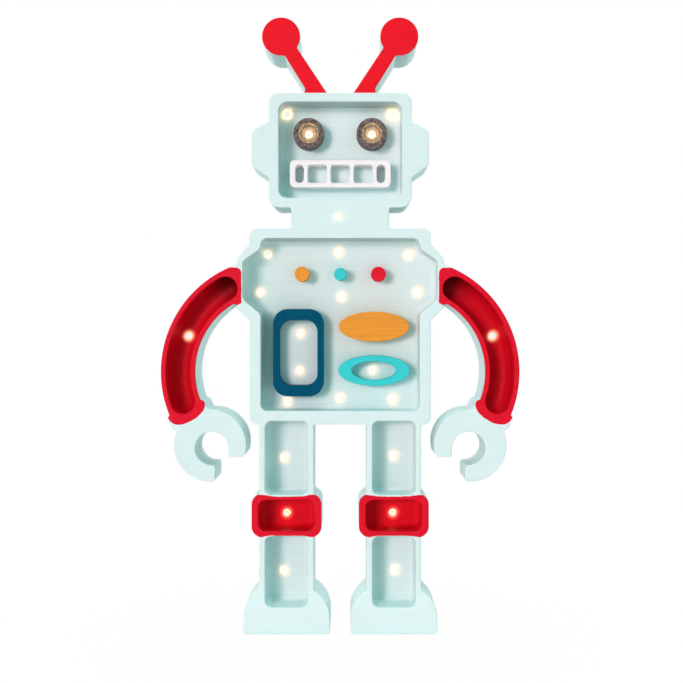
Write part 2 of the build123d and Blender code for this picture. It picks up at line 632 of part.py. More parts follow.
LEFT_ARM, RIGHT_ARM = BULBS["arm_bulbs"][0]
CHAIN = [
    (HEAD_BULBS[0], EYE_BULBS[0]), (EYE_BULBS[0], EYE_BULBS[1]), (EYE_BULBS[1], HEAD_BULBS[1]),
    (EYE_BULBS[0], NECK_BULBS[0]), (NECK_BULBS[0], SHOULDER_BULBS[1]),
    (SHOULDER_BULBS[0], SHOULDER_BULBS[1]), (SHOULDER_BULBS[1], SHOULDER_BULBS[2]),
    (SHOULDER_BULBS[2], SHOULDER_BULBS[3]), (SHOULDER_BULBS[3], SHOULDER_BULBS[4]),
    (SHOULDER_BULBS[4], SHOULDER_BULBS[5]), (SHOULDER_BULBS[5], SHOULDER_BULBS[0]),
    (SHOULDER_BULBS[5], BELLY_BULBS[0]), (BELLY_BULBS[0], BELLY_BULBS[1]),
    (BELLY_BULBS[1], BELLY_BULBS[2]), (BELLY_BULBS[2], BELLY_BULBS[3]),
    (BELLY_BULBS[3], BELLY_BULBS[4]), (BELLY_BULBS[4], BELLY_BULBS[5]),
    (BELLY_BULBS[2], UPPER_BULBS[0]), (UPPER_BULBS[0], KNEE_BULBS[0]), (KNEE_BULBS[0], LOWER_BULBS[0]),
    (BELLY_BULBS[4], UPPER_BULBS[1]), (UPPER_BULBS[1], KNEE_BULBS[1]), (KNEE_BULBS[1], LOWER_BULBS[1]),
]
with BuildPart() as string_wire:
    for (x0, z0), (x1, z1) in CHAIN:
        run = Vector(x1 - x0, 0, z1 - z0)
        way = run.normalized()
        start = Vector(x0, WIRE_Y, z0) + way * (SOCKET_R + WIRE_GAP)
        with BuildSketch(Plane(start, z_dir=way)):
            Circle(WIRE_R)
        extrude(amount=run.length - 2 * (SOCKET_R + WIRE_GAP))
finish(string_wire.part, "string_wire", BLACK)

# the two wires into the arms follow the arms' curve, then run straight to the shoulder's socket
ARM_WIRE_START = ARM_BULB_DEG + degrees((SOCKET_R + WIRE_GAP) / ARM_R)
with BuildPart() as arm_wires:
    for side, (to_x, to_z) in ((-1, SHOULDER_BULBS[5]), (1, SHOULDER_BULBS[3])):
        curve = CenterArc(
            (ARM_X, ARM_Z), ARM_R, ARM_WIRE_START, ARM_CHANNEL_DEG - ARM_WIRE_START, mode=Mode.PRIVATE
        )
        path = facing(WIRE_Y).from_local_coords(curve)
        if side < 0:
            path = path.mirror(Plane.YZ)
        with BuildSketch(Plane(path @ 0, z_dir=path % 0)) as wire_section:
            Circle(WIRE_R)
        sweep(wire_section.sketch, path=path)
        run = Vector(to_x, WIRE_Y, to_z) - path @ 1
        with BuildSketch(Plane(path @ 1, z_dir=run)):
            Circle(WIRE_R)
        extrude(amount=run.length - SOCKET_R - WIRE_GAP)
        with Locations(path @ 1):
            Sphere(WIRE_R)
finish(arm_wires.part, "arm_wires", BLACK)

# ================================================================ cutters
with BuildPart() as head_pocket:
    with BuildSketch(facing(POCKET_Y)):
        with Locations((0, HEAD_POCKET_MID)):
            RectangleRounded(HEAD_POCKET_W, HEAD_POCKET_Z1 - HEAD_POCKET_Z0, HEAD_POCKET_R)
    extrude(amount=POCKET_DEPTH)
    fillet(head_pocket.faces().sort_by(Axis.Y)[-1].edges(), radius=FLOOR_FILLET)

with BuildPart() as torso_pocket:
    with BuildSketch(facing(POCKET_Y)):
        with BuildLine():
            FilletPolyline(*torso_points(), radius=POCKET_CORNER, close=True)
        make_face()
    extrude(amount=POCKET_DEPTH)
    fillet(torso_pocket.faces().sort_by(Axis.Y)[-1].edges(), radius=FLOOR_FILLET)

with BuildPart() as knee_pocket:
    with BuildSketch(facing(POCKET_Y)):
        with Locations((LEG_X, KNEE_Z)):
            RectangleRounded(KNEE_POCKET_W, KNEE_POCKET_H, KNEE_POCKET_R)
    extrude(amount=POCKET_DEPTH)
    fillet(knee_pocket.faces().sort_by(Axis.Y)[-1].edges(), radius=FLOOR_FILLET)

with BuildPart() as upper_leg_pocket:
    with BuildSketch(facing(POCKET_Y)):
        with Locations((LEG_X, UPPER_POCKET_MID)):
            RectangleRounded(LEG_POCKET_W, UPPER_POCKET_Z1 - UPPER_POCKET_Z0, POCKET_CORNER)
    extrude(amount=POCKET_DEPTH)
    fillet(upper_leg_pocket.faces().sort_by(Axis.Y)[-1].edges(), radius=FLOOR_FILLET)

with BuildPart() as lower_leg_pocket:
    with BuildSketch(facing(POCKET_Y)):
        with Locations((LEG_X, LOWER_POCKET_MID)):
            RectangleRounded(LEG_POCKET_W, LOWER_POCKET_Z1 - LOWER_POCKET_Z0, POCKET_CORNER)
    extrude(amount=POCKET_DEPTH)
    fillet(lower_leg_pocket.faces().sort_by(Axis.Y)[-1].edges(), radius=FLOOR_FILLET)

with BuildPart() as trough:
    middle = CenterArc(
        (ARM_X, ARM_Z), ARM_R, TROUGH_FOOT_DEG, TROUGH_TOP_DEG - TROUGH_FOOT_DEG, mode=Mode.PRIVATE
    )
    with BuildSketch(facing(ARM_POCKET_Y)):
        SlotArc(middle, TROUGH_W)
    extrude(amount=ARM_POCKET_DEPTH)
    fillet(trough.faces().sort_by(Axis.Y)[-1].edges(), radius=TROUGH_FILLET)

# ================================================================ the board, routed as one
with BuildPart() as body_board:
    with BuildSketch(facing(BACK_Y)):
        add(outline.sketch)
    extrude(amount=BOARD)
    fillet(sharp_corners(body_board), radius=INSIDE_CORNER)
    front_face, *_, back_face = body_board.faces().sort_by(Axis.Y)
    fillet(front_face.edges() + back_face.edges(), radius=EDGE_ROUND)
    for pocket in (head_pocket, torso_pocket):
        add(pocket.part, mode=Mode.SUBTRACT)
    for pocket in (knee_pocket, upper_leg_pocket, lower_leg_pocket, trough):
        add(pocket.part, mode=Mode.SUBTRACT)
        add(mirror(pocket.part, about=Plane.YZ, mode=Mode.PRIVATE), mode=Mode.SUBTRACT)
    front = body_board.faces().filter_by(Axis.Y).sort_by(Axis.Y)[0]
    rims = ShapeList(edge for wire in front.inner_wires() for edge in wire.edges())
    fillet(rims, radius=RIM_ROUND)
    # behind: the cover's rebate, the wiring cavity and its screw holes
    with BuildSketch(facing(BACK_Y)):
        add(back_outline(LEDGE))
    extrude(amount=COVER, mode=Mode.SUBTRACT)
    with BuildSketch(facing(COVER_Y)):
        add(back_outline(0))
    extrude(amount=COVER_Y - CAVITY_Y, mode=Mode.SUBTRACT)
    with BuildSketch(facing(COVER_Y)):
        with Locations(*SCREWS):
            Circle(SCREW_R + SCREW_FIT)
    extrude(amount=SCREW_L - COVER + SCREW_R, mode=Mode.SUBTRACT)
    # a bulb's hole, a lobe of the cavity round its socket, and a deeper bore where the bulb sits deeper
    for places, face_y, web in BULBS.values():
        with BuildSketch(facing(COVER_Y)):
            with Locations(*places):
                Circle(SOCKET_HOLE_R)
        extrude(amount=COVER_Y - CAVITY_Y, mode=Mode.SUBTRACT)
        with BuildSketch(facing(CAVITY_Y)):
            with Locations(*places):
                Circle(BULB_HOLE_R)
        extrude(amount=CAVITY_Y - FRONT_Y + BULB_PROUD, mode=Mode.SUBTRACT)
        if face_y + web < CAVITY_Y:
            with BuildSketch(facing(CAVITY_Y)):
                with Locations(*places):
                    Circle(SOCKET_HOLE_R)
            extrude(amount=CAVITY_Y - face_y - web, mode=Mode.SUBTRACT)
    # pilot holes of the driver board's screws
    with BuildSketch(facing(CAVITY_Y)):
        with Locations(*PCB_HOLES):
            Circle(PCB_SCREW_R + SCREW_FIT)
    extrude(amount=PCB_SCREW_GRIP + PCB_SCREW_R, mode=Mode.SUBTRACT)

# ================================================================ the blocks that the board is glued up from
# Each block lies in its own rectangles (x0, z0, x1, z1). The glue lines run just past the rounded
# inner corners where a limb meets its neighbour.
LIMB_X = (TORSO_W / 2 + CLAW[0] - CLAW_R) / 2   # between the torso's side and the claw
ARM_JOINT_X = SHOULDER_X + INSIDE_CORNER
SHOULDER_Z = TORSO_TOP - SHOULDER_FOOT - SHOULDER_SLOPE_FOOT
LEG_JOINT_Z = TORSO_Z - INSIDE_CORNER
NECK_JOINT_Z = TORSO_TOP + INSIDE_CORNER
ANTENNA_JOINT_Z = HEAD_TOP + INSIDE_CORNER
OUT_X = ARM_X + ARM_R + ARM_W                   # past the arms
OUT_Z = BALL_Z + 2 * ANTENNA_BALL_R             # past the antennae
BLOCKS = {
    "head_block": [(-OUT_X, NECK_JOINT_Z, OUT_X, ANTENNA_JOINT_Z)],
    "torso_block": [
        (-ARM_JOINT_X, SHOULDER_Z, ARM_JOINT_X, NECK_JOINT_Z),
        (-LIMB_X, LEG_JOINT_Z, LIMB_X, SHOULDER_Z),
    ],
}
for side, suffix in ((-1, "left"), (1, "right")):
    BLOCKS[f"antenna_{suffix}"] = [(0, ANTENNA_JOINT_Z, side * OUT_X, OUT_Z)]
    BLOCKS[f"arm_{suffix}"] = [
        (side * ARM_JOINT_X, SHOULDER_Z, side * OUT_X, NECK_JOINT_Z),
        (side * LIMB_X, KNEE_Z, side * OUT_X, SHOULDER_Z),
    ]
    BLOCKS[f"leg_{suffix}"] = [(0, KNEE_Z, side * LIMB_X, LEG_JOINT_Z), (0, 0, side * OUT_X, KNEE_Z)]

for name, rectangles in BLOCKS.items():
    with BuildPart() as block:
        with BuildSketch(facing(BACK_Y + BOARD)):
            for x0, z0, x1, z1 in rectangles:
                with Locations(((x0 + x1) / 2, (z0 + z1) / 2)):
                    Rectangle(abs(x1 - x0), z1 - z0)
        extrude(amount=3 * BOARD)
        add(body_board.part, mode=Mode.INTERSECT)
    finish(block.part, name, MINT)


# ================================================================ trim glued to the pockets' floors
def trim_front(part):
    return part.faces().sort_by(Axis.Y)[0].edges()


for side, name in ((-1, "eye_disc_left"), (1, "eye_disc_right")):
    with BuildPart() as eye_disc:
        with BuildSketch(facing(POCKET_Y)):
            with Locations((side * EYE_X, EYE_Z)):
                Circle(EYE_R)
        extrude(amount=TRIM)
        fillet(trim_front(eye_disc), radius=TRIM_ROUND)
        dish_slope = degrees(atan2(EYE_DISH_R - EYE_DISH_FLOOR_R, EYE_DISH_DEPTH))
        with BuildSketch(facing(POCKET_Y - TRIM + EYE_DISH_DEPTH)):
            with Locations((side * EYE_X, EYE_Z)):
                Circle(EYE_DISH_FLOOR_R)
        extrude(amount=EYE_DISH_DEPTH, taper=-dish_slope, mode=Mode.SUBTRACT)
        with BuildSketch(facing(POCKET_Y)):
            with Locations((side * EYE_X, EYE_Z)):
                Circle(BULB_HOLE_R)
        extrude(amount=TRIM, mode=Mode.SUBTRACT)
        with BuildSketch(facing(POCKET_Y)):
            with Locations((side * EYE_X, EYE_Z)):
                Circle(SOCKET_HOLE_R)
        extrude(amount=TRIM - EYE_DISH_DEPTH - EYE_WEB, mode=Mode.SUBTRACT)
    finish(eye_disc.part, name, BROWN)

with BuildPart() as mouth_grille:
    middle_window = (MOUTH_W - 2 * (MOUTH_SIDE_BAR + MOUTH_END_WINDOW) - 4 * MOUTH_BAR) / 3
    window_h = MOUTH_H - 2 * MOUTH_RAIL
    with BuildSketch(facing(POCKET_Y)):
        with Locations((0, MOUTH_Z)):
            RectangleRounded(MOUTH_W, MOUTH_H, MOUTH_R)
            with GridLocations(middle_window + MOUTH_BAR, 0, 3, 1):
                RectangleRounded(middle_window, window_h, MOUTH_WINDOW_R, mode=Mode.SUBTRACT)
            with GridLocations(MOUTH_W - 2 * MOUTH_SIDE_BAR - MOUTH_END_WINDOW, 0, 2, 1):
                SlotOverall(window_h, MOUTH_END_WINDOW, rotation=90, mode=Mode.SUBTRACT)
    extrude(amount=TRIM)
    fillet(trim_front(mouth_grille), radius=TRIM_ROUND)
finish(mouth_grille.part, "mouth_grille", WHITE)

BUTTONS = (
    ("chest_button_orange", -BUTTON_PITCH, BUTTON_R, ORANGE),
    ("chest_button_turquoise", 0, SMALL_BUTTON_R, TURQUOISE),
    ("chest_button_red", BUTTON_PITCH, BUTTON_R, RED),
)
for name, x, radius, colour in BUTTONS:
    with BuildPart() as button:
        with BuildSketch(facing(POCKET_Y)):
            with Locations((x, BUTTON_Z)):
                Circle(radius)
        extrude(amount=TRIM)
        fillet(trim_front(button), radius=TRIM_ROUND)
    finish(button.part, name, colour)

with BuildPart() as chest_frame:
    with BuildSketch(facing(POCKET_Y)):
        with Locations((FRAME_X, FRAME_Z)):
            RectangleRounded(FRAME_W, FRAME_H, FRAME_R)
            RectangleRounded(
                FRAME_W - 2 * FRAME_SIDE, FRAME_H - 2 * FRAME_END, FRAME_HOLE_R, mode=Mode.SUBTRACT
            )
    extrude(amount=TRIM)
    fillet(trim_front(chest_frame), radius=TRIM_ROUND)
finish(chest_frame.part, "chest_frame", NAVY)

with BuildPart() as chest_oval:
    with BuildSketch(facing(POCKET_Y)):
        with Locations((OVAL_X, OVAL_Z)):
            Ellipse(OVAL_RX, OVAL_RZ)
    extrude(amount=TRIM)
    fillet(trim_front(chest_oval), radius=TRIM_ROUND)
finish(chest_oval.part, "chest_oval", ORANGE)

with BuildPart() as chest_ring:
    with BuildSketch(facing(POCKET_Y)):
        with Locations((OVAL_X, RING_Z)):
            Ellipse(RING_RX, RING_RZ)
            Ellipse(RING_HOLE_RX, RING_HOLE_RZ, mode=Mode.SUBTRACT)
    extrude(amount=TRIM)
    fillet(trim_front(chest_ring), radius=TRIM_ROUND)
finish(chest_ring.part, "chest_ring", TURQUOISE)

# ================================================================ back cover and its screws
SINK_DEG = degrees(atan2(SCREW_HEAD_R - SCREW_R, SCREW_HEAD_L))

with BuildPart() as back_cover:
    with BuildSketch(facing(BACK_Y)):
        add(back_outline(LEDGE - COVER_FIT))
    extrude(amount=COVER)
    with BuildSketch(facing(BACK_Y)):
        with Locations((0, SWITCH_Z)):
            Rectangle(SWITCH_W + 2 * PANEL_FIT, SWITCH_H + 2 * PANEL_FIT)
        with Locations((0, DIMMER_Z)):
            Circle(BUSHING_R + PANEL_FIT)
        with Locations((0, INLET_Z)):
            Circle(INLET_NECK_R + PANEL_FIT)
        with Locations(*SCREWS):
            Circle(SCREW_R + SCREW_FREE)
    extrude(amount=COVER, mode=Mode.SUBTRACT)
    with BuildSketch(facing(BACK_Y)):
        with Locations(*SCREWS):
            Circle(SCREW_HEAD_R + SCREW_FIT)
    extrude(amount=SCREW_HEAD_L, taper=SINK_DEG, mode=Mode.SUBTRACT)
finish(back_cover.part, "back_cover", PLY)

with BuildPart() as cover_screws:
    with BuildSketch(facing(BACK_Y)):
        with Locations(*SCREWS):
            Circle(SCREW_HEAD_R)
    extrude(amount=SCREW_HEAD_L, taper=SINK_DEG)
    with BuildSketch(facing(BACK_Y)):
        with Locations(*SCREWS):
            Circle(SCREW_R)
    extrude(amount=SCREW_L)
    with BuildSketch(facing(BACK_Y)):
        with Locations(*SCREWS):
            Rectangle(2 * SCREW_HEAD_R, SCREW_SLOT_W, rotation=SCREW_TURN_DEG)
            Rectangle(SCREW_SLOT_W, 2 * SCREW_HEAD_R, rotation=SCREW_TURN_DEG)
    extrude(amount=SCREW_SLOT_D, mode=Mode.SUBTRACT)
finish(cover_screws.part, "cover_screws", STEEL)

# ================================================================ rocker switch
with BuildPart() as switch_housing:
    with BuildSketch(facing(BACK_Y)):
        with Locations((0, SWITCH_Z)):
            Rectangle(SWITCH_W, SWITCH_H)
    extrude(amount=SWITCH_DEPTH)
    with BuildSketch(facing(BACK_Y + BEZEL)):
        with Locations((0, SWITCH_Z)):
            RectangleRounded(SWITCH_W + 2 * BEZEL_RIM, SWITCH_H + 2 * BEZEL_RIM, BEZEL_RIM)
    extrude(amount=BEZEL)
    fillet(switch_housing.faces().sort_by(Axis.Y)[-1].edges(), radius=BEZEL_RIM / 2)
    with BuildSketch(facing(BACK_Y + BEZEL)):
        with Locations((0, SWITCH_Z)):
            Rectangle(WELL_W, 2 * WELL_R)
    extrude(amount=BACK_Y + BEZEL - PIVOT_Y + WELL_DEPTH, mode=Mode.SUBTRACT)
    with BuildSketch(Plane((0, PIVOT_Y, SWITCH_Z), z_dir=(1, 0, 0))):
        Circle(ROCKER_PIN_R + PIN_FIT)
    extrude(amount=WELL_W / 2 + ROCKER_PIN_L + PANEL_FIT, both=True, mode=Mode.SUBTRACT)
finish(switch_housing.part, "switch_housing", BLACK)

ROCKER_R = WELL_R - ROCKER_GAP
ROCKER_HALF = WELL_W / 2 - ROCKER_GAP
tilt = radians(ROCKER_TILT)
end = radians(ROCKER_END_DEG)
foot = radians(ROCKER_FOOT_DEG)
with BuildPart() as switch_rocker:
    side_plane = Plane((-ROCKER_HALF, PIVOT_Y, SWITCH_Z), x_dir=(0, cos(tilt), sin(tilt)), z_dir=(1, 0, 0))
    with BuildSketch(side_plane):
        with BuildLine():
            crown = (ROCKER_R * sin(end), ROCKER_R * cos(end))
            heel = (-ROCKER_R * sin(foot), ROCKER_R * cos(foot))
            Polyline(crown, (ROCKER_VALLEY, 0), (crown[0], -crown[1]))
            ThreePointArc((crown[0], -crown[1]), (0, -ROCKER_R), (heel[0], -heel[1]))
            Line((heel[0], -heel[1]), heel)
            ThreePointArc(heel, (0, ROCKER_R), crown)
        make_face()
    extrude(amount=2 * ROCKER_HALF)
    with BuildSketch(Plane((0, PIVOT_Y, SWITCH_Z), z_dir=(1, 0, 0))):
        Circle(ROCKER_PIN_R)
    extrude(amount=WELL_W / 2 + ROCKER_PIN_L, both=True)
finish(switch_rocker.part, "switch_rocker", BLACK)

with BuildPart() as switch_terminals:
    with BuildSketch(facing(BACK_Y - SWITCH_DEPTH)):
        with Locations((0, SWITCH_Z)):
            with GridLocations(0, SWITCH_H / 2 - TERMINAL_W, 1, 3):
                Rectangle(TERMINAL_T, TERMINAL_W)
    extrude(amount=TERMINAL_L)
finish(switch_terminals.part, "switch_terminals", BRASS)

# ================================================================ driver board
with BuildPart() as driver_board:
    with BuildSketch(facing(POT_Y)):
        with Locations((0, DIMMER_Z)):
            Rectangle(PCB_W, PCB_H)
        with Locations(*PCB_HOLES):
            Circle(PCB_SCREW_R + PANEL_FIT, mode=Mode.SUBTRACT)
    extrude(amount=PCB_T)
finish(driver_board.part, "driver_board", GREEN)

with BuildPart() as board_standoffs:
    with BuildSketch(facing(PCB_Y)):
        with Locations(*PCB_HOLES):
            Circle(STANDOFF_R)
            Circle(PCB_SCREW_R + PANEL_FIT, mode=Mode.SUBTRACT)
    extrude(amount=STANDOFF)
finish(board_standoffs.part, "board_standoffs", WHITE)

with BuildPart() as board_screws:
    with BuildSketch(facing(POT_Y + PCB_SCREW_HEAD)):
        with Locations(*PCB_HOLES):
            Circle(PCB_SCREW_HEAD_R)
    extrude(amount=PCB_SCREW_HEAD)
    with BuildSketch(facing(POT_Y)):
        with Locations(*PCB_HOLES):
            Circle(PCB_SCREW_R)
    extrude(amount=POT_Y - CAVITY_Y + PCB_SCREW_GRIP)
finish(board_screws.part, "board_screws", STEEL)

with BuildPart() as board_parts:
    with Locations((CHIP_X, POT_Y + CHIP[2] / 2, DIMMER_Z + PART_RISE)):
        Box(CHIP[0], CHIP[2], CHIP[1])
    with BuildSketch(facing(POT_Y + COIL_L)):
        with Locations((-CHIP_X, DIMMER_Z + PART_RISE), (-CHIP_X, DIMMER_Z - PART_RISE)):
            Circle(COIL_R)
    extrude(amount=COIL_L)
finish(board_parts.part, "board_parts", BLACK)

# ================================================================ dimmer
BUSHING_END = BACK_Y + NUT + NUT_CLEAR

with BuildPart() as dimmer_body:
    with BuildSketch(facing(POT_Y + POT_BODY)):
        with Locations((0, DIMMER_Z)):
            Rectangle(POT_W, POT_H)
    extrude(amount=POT_BODY)
    with BuildSketch(facing(BUSHING_END)):
        with Locations((0, DIMMER_Z)):
            Circle(BUSHING_R)
    extrude(amount=BUSHING_END - POT_Y - POT_BODY)
    with BuildSketch(facing(BUSHING_END)):
        with Locations((0, DIMMER_Z)):
            Circle(SHAFT_R + SHAFT_FIT)
    extrude(amount=BUSHING_END - POT_Y - SHAFT_SEAT, mode=Mode.SUBTRACT)
finish(dimmer_body.part, "dimmer_body", STEEL)

with BuildPart() as dimmer_nut:
    with BuildSketch(facing(BACK_Y + NUT)):
        with Locations((0, DIMMER_Z)):
            RegularPolygon(NUT_R, 6)
            Circle(BUSHING_R + SHAFT_FIT, mode=Mode.SUBTRACT)
    extrude(amount=NUT)
finish(dimmer_nut.part, "dimmer_nut", STEEL)

KNOB_FACE_Y = BACK_Y + KNOB_PROUD
KNOB_ROOF_Y = KNOB_FACE_Y - KNOB_TOP

with BuildPart() as dimmer_knob:
    with BuildSketch(facing(KNOB_FACE_Y)):
        with Locations((0, DIMMER_Z)):
            Circle(KNOB_R)
    extrude(amount=KNOB_PROUD - KNOB_GAP)
    fillet(dimmer_knob.faces().sort_by(Axis.Y)[-1].edges(), radius=KNOB_ROUND)
    with BuildSketch(facing(KNOB_ROOF_Y)):
        with Locations((0, DIMMER_Z)):
            Circle(KNOB_HOLLOW_R)
    extrude(amount=KNOB_PROUD, mode=Mode.SUBTRACT)
    with BuildSketch(facing(KNOB_ROOF_Y)):
        with Locations((0, DIMMER_Z)):
            Circle(KNOB_BOSS_R)
            Circle(SHAFT_R + SHAFT_FIT, mode=Mode.SUBTRACT)
    extrude(amount=KNOB_ROOF_Y - BUSHING_END - KNOB_GAP)
    with BuildSketch(facing(KNOB_FACE_Y)):
        with Locations((0, DIMMER_Z)):
            with PolarLocations(KNOB_R, KNOB_FLUTES):
                Circle(KNOB_FLUTE_R)
    extrude(amount=KNOB_PROUD, mode=Mode.SUBTRACT)
    with BuildSketch(facing(KNOB_FACE_Y)):
        with Locations((0, DIMMER_Z)):
            Rectangle(KNOB_POINTER_W, KNOB_POINTER_L, align=(Align.CENTER, Align.MIN))
    extrude(amount=KNOB_POINTER_D, mode=Mode.SUBTRACT)
finish(dimmer_knob.part, "dimmer_knob", BLACK)

with BuildPart() as dimmer_shaft:
    with BuildSketch(facing(KNOB_ROOF_Y)):
        with Locations((0, DIMMER_Z)):
            Circle(SHAFT_R)
    extrude(amount=KNOB_ROOF_Y - POT_Y - SHAFT_SEAT - ROCKER_GAP)
finish(dimmer_shaft.part, "dimmer_shaft", STEEL)

# ================================================================ inlet
INLET_MOUTH_Y = BACK_Y + INLET_FLANGE

with BuildPart() as inlet_socket:
    with BuildSketch(facing(INLET_MOUTH_Y)):
        with Locations((0, INLET_Z)):
            Circle(INLET_FLANGE_R)
    extrude(amount=INLET_FLANGE)
    fillet(inlet_socket.faces().sort_by(Axis.Y)[-1].edges(), radius=INLET_ROUND)
    with BuildSketch(facing(BACK_Y)):
        with Locations((0, INLET_Z)):
            Circle(INLET_NECK_R)
    extrude(amount=COVER + INLET_NUT)
    with BuildSketch(facing(COVER_Y - INLET_NUT)):
        with Locations((0, INLET_Z)):
            Circle(INLET_R)
    extrude(amount=INLET_BODY)
    with BuildSketch(facing(INLET_MOUTH_Y)):
        with Locations((0, INLET_Z)):
            Circle(INLET_BORE_R)
    extrude(amount=INLET_BORE, mode=Mode.SUBTRACT)
finish(inlet_socket.part, "inlet_socket", BLACK)

with BuildPart() as inlet_pin:
    with BuildSketch(facing(INLET_MOUTH_Y - INLET_PIN_SHORT)):
        with Locations((0, INLET_Z)):
            Circle(INLET_PIN_R)
    extrude(amount=INLET_BORE - INLET_PIN_SHORT)
    fillet(inlet_pin.faces().sort_by(Axis.Y)[-1].edges(), radius=INLET_PIN_R / 2)
finish(inlet_pin.part, "inlet_pin", BRASS)

with BuildPart() as inlet_nut:
    with BuildSketch(facing(COVER_Y)):
        with Locations((0, INLET_Z)):
            RegularPolygon(INLET_NUT_R, 6)
            Circle(INLET_NECK_R + SHAFT_FIT, mode=Mode.SUBTRACT)
    extrude(amount=INLET_NUT)
finish(inlet_nut.part, "inlet_nut", STEEL)

# ================================================================ supply wires
ON_BOARD_Y = POT_Y + WIRE_R + WIRE_GAP
TERMINAL_STEP = SWITCH_H / 2 - TERMINAL_W
TERMINAL_Y = BACK_Y - SWITCH_DEPTH - TERMINAL_L / 2
TERMINAL_END = TERMINAL_STEP + TERMINAL_W / 2 + WIRE_GAP
PCB_LOW_Z = DIMMER_Z - PCB_H / 2 + WIRE_ON_BOARD
PCB_HIGH_Z = DIMMER_Z + PCB_H / 2 - WIRE_ON_BOARD
FED_X, FED_Z = SHOULDER_BULBS[4]   # the bulb that the board feeds
SUPPLY_RUNS = [
    # (x, y, lower z, upper z) of the upright runs
    (0, TERMINAL_Y, INLET_Z + INLET_R + WIRE_GAP, SWITCH_Z - TERMINAL_END),
    (0, ON_BOARD_Y, SWITCH_Z + TERMINAL_END, PCB_LOW_Z),
    (FED_X, ON_BOARD_Y, PCB_HIGH_Z, FED_Z - SOCKET_R - WIRE_GAP),
]
with BuildPart() as supply_wires:
    for x, y, low, high in SUPPLY_RUNS:
        with BuildSketch(Plane((x, y, low), z_dir=(0, 0, 1))):
            Circle(WIRE_R)
        extrude(amount=high - low)
    # the return wire, from the inlet's side round the switch to the board
    with BuildLine(facing(ON_BOARD_Y)):
        FilletPolyline(
            (INLET_R + WIRE_GAP, INLET_Z), (RETURN_X, INLET_Z), (RETURN_X, PCB_LOW_Z),
            radius=RETURN_BEND,
        )
    with BuildSketch(Plane((INLET_R + WIRE_GAP, ON_BOARD_Y, INLET_Z), z_dir=(1, 0, 0))):
        Circle(WIRE_R)
    sweep()
finish(supply_wires.part, "supply_wires", RED)
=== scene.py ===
"""Looks of the robot-shaped desk lamp: paint, wood, leds, light and camera."""

import json
import math

import bpy
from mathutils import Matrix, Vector


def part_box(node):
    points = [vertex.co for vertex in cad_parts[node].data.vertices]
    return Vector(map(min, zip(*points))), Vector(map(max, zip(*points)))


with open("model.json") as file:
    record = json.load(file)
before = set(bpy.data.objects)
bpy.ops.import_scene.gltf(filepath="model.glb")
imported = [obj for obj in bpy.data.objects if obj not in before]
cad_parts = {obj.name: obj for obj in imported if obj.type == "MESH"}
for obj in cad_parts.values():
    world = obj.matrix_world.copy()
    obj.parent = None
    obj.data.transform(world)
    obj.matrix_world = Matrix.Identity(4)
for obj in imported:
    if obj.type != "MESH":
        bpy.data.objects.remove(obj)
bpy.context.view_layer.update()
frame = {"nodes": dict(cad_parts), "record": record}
nodes = frame["nodes"]
MM = 0.001

# ---------------------------------------------------------------- places, in millimetres
FRONT_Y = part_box("torso_block")[0][1] / MM
BACK_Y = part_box("torso_block")[1][1] / MM
POCKET_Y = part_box("mouth_grille")[1][1] / MM     # the pockets' floors
HEAD_TOP = 451.3
EYE_PLACES = [
    (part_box(name)[0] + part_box(name)[1]) / (2 * MM) for name in ("eye_disc_left", "eye_disc_right")
]
EYE_DISH = 8.4                           # radius of the eyes' dishes

# knees
LEG_X = 44.75
KNEE_HALF_W = 29.2
KNEE_LOW = 81.2
KNEE_HIGH = 116.4
KNEE_POCKET_HALF_W = 24.6
KNEE_POCKET_HALF_H = 14.4
KNEE_DIP = (21.0, 12.0)                  # where the paint's upper and lower edges draw in
KNEE_DIP_TOP = 1.3
KNEE_DIP_FOOT = 1.0

# arms, which follow a ring
ARM_X = 54.6
ARM_Z = 218.9
ARM_MID_R = 80.6
ARM_HALF_W = 14.4
WRIST_ANGLE = math.radians(-22.8)
WRIST_MID = 1.1                          # the painted band's middle, inside the ring's
WRIST_INNER_W = 15.8
WRIST_OUTER_W = 17.4
WRIST_LENGTH = 10.8
WRIST_POWER = 2.3
CUFF_X = 87.3                            # the round corner at the shoulder
CUFF_Z = 300.9
CUFF_R = 5.0
ARM_LOW_Z = 170.0
SHOULDER = (88.0, 0.0, 304.0)            # middle of the painted shade at the troughs' upper end
SHOULDER_REACH = (38.0, 6.0)

# levels at which the paint changes, as (0 at, 1 at)
HEAD_LEVEL = (335.0, 350.0)
ARM_LEVEL = (150.0, 165.0)
LEG_LEVEL = (190.0, 178.0)
FOOT_LEVEL = (60.0, 25.0)

# depths behind the front face at which the paint changes, as (0 at, 1 at)
FACE_BAND = (1.25, 0.75)
TROUGH_BAND = (1.0, 5.0)
POCKET_BAND = (3.0, 22.0)
GLOW_BAND = (3.0, 14.0)
FLOOR_BAND = (22.0, 26.0)

# y behind which there is no red, and no glow, as (0 at, 1 at)
RED_BACK = (BACK_Y - 8.0, BACK_Y - 9.0)
GLOW_BACK = (POCKET_Y + 2.0, POCKET_Y + 1.0)

# how far the red paint's edge waves
EDGE_WAVE = 1.6
EDGE_RIPPLE = 0.5

# ---------------------------------------------------------------- camera, in millimetres
CAMERA_AHEAD = 1014.0                    # in front of the board's front face
CAMERA_X = 8.2
CAMERA_Z = 252.9
FOCAL_PX = 1216.8
FRAME_PX = 683
VIEW_PX = (350.0, 331.0)                 # where the camera's axis meets the frame
SENSOR_MM = 36.0

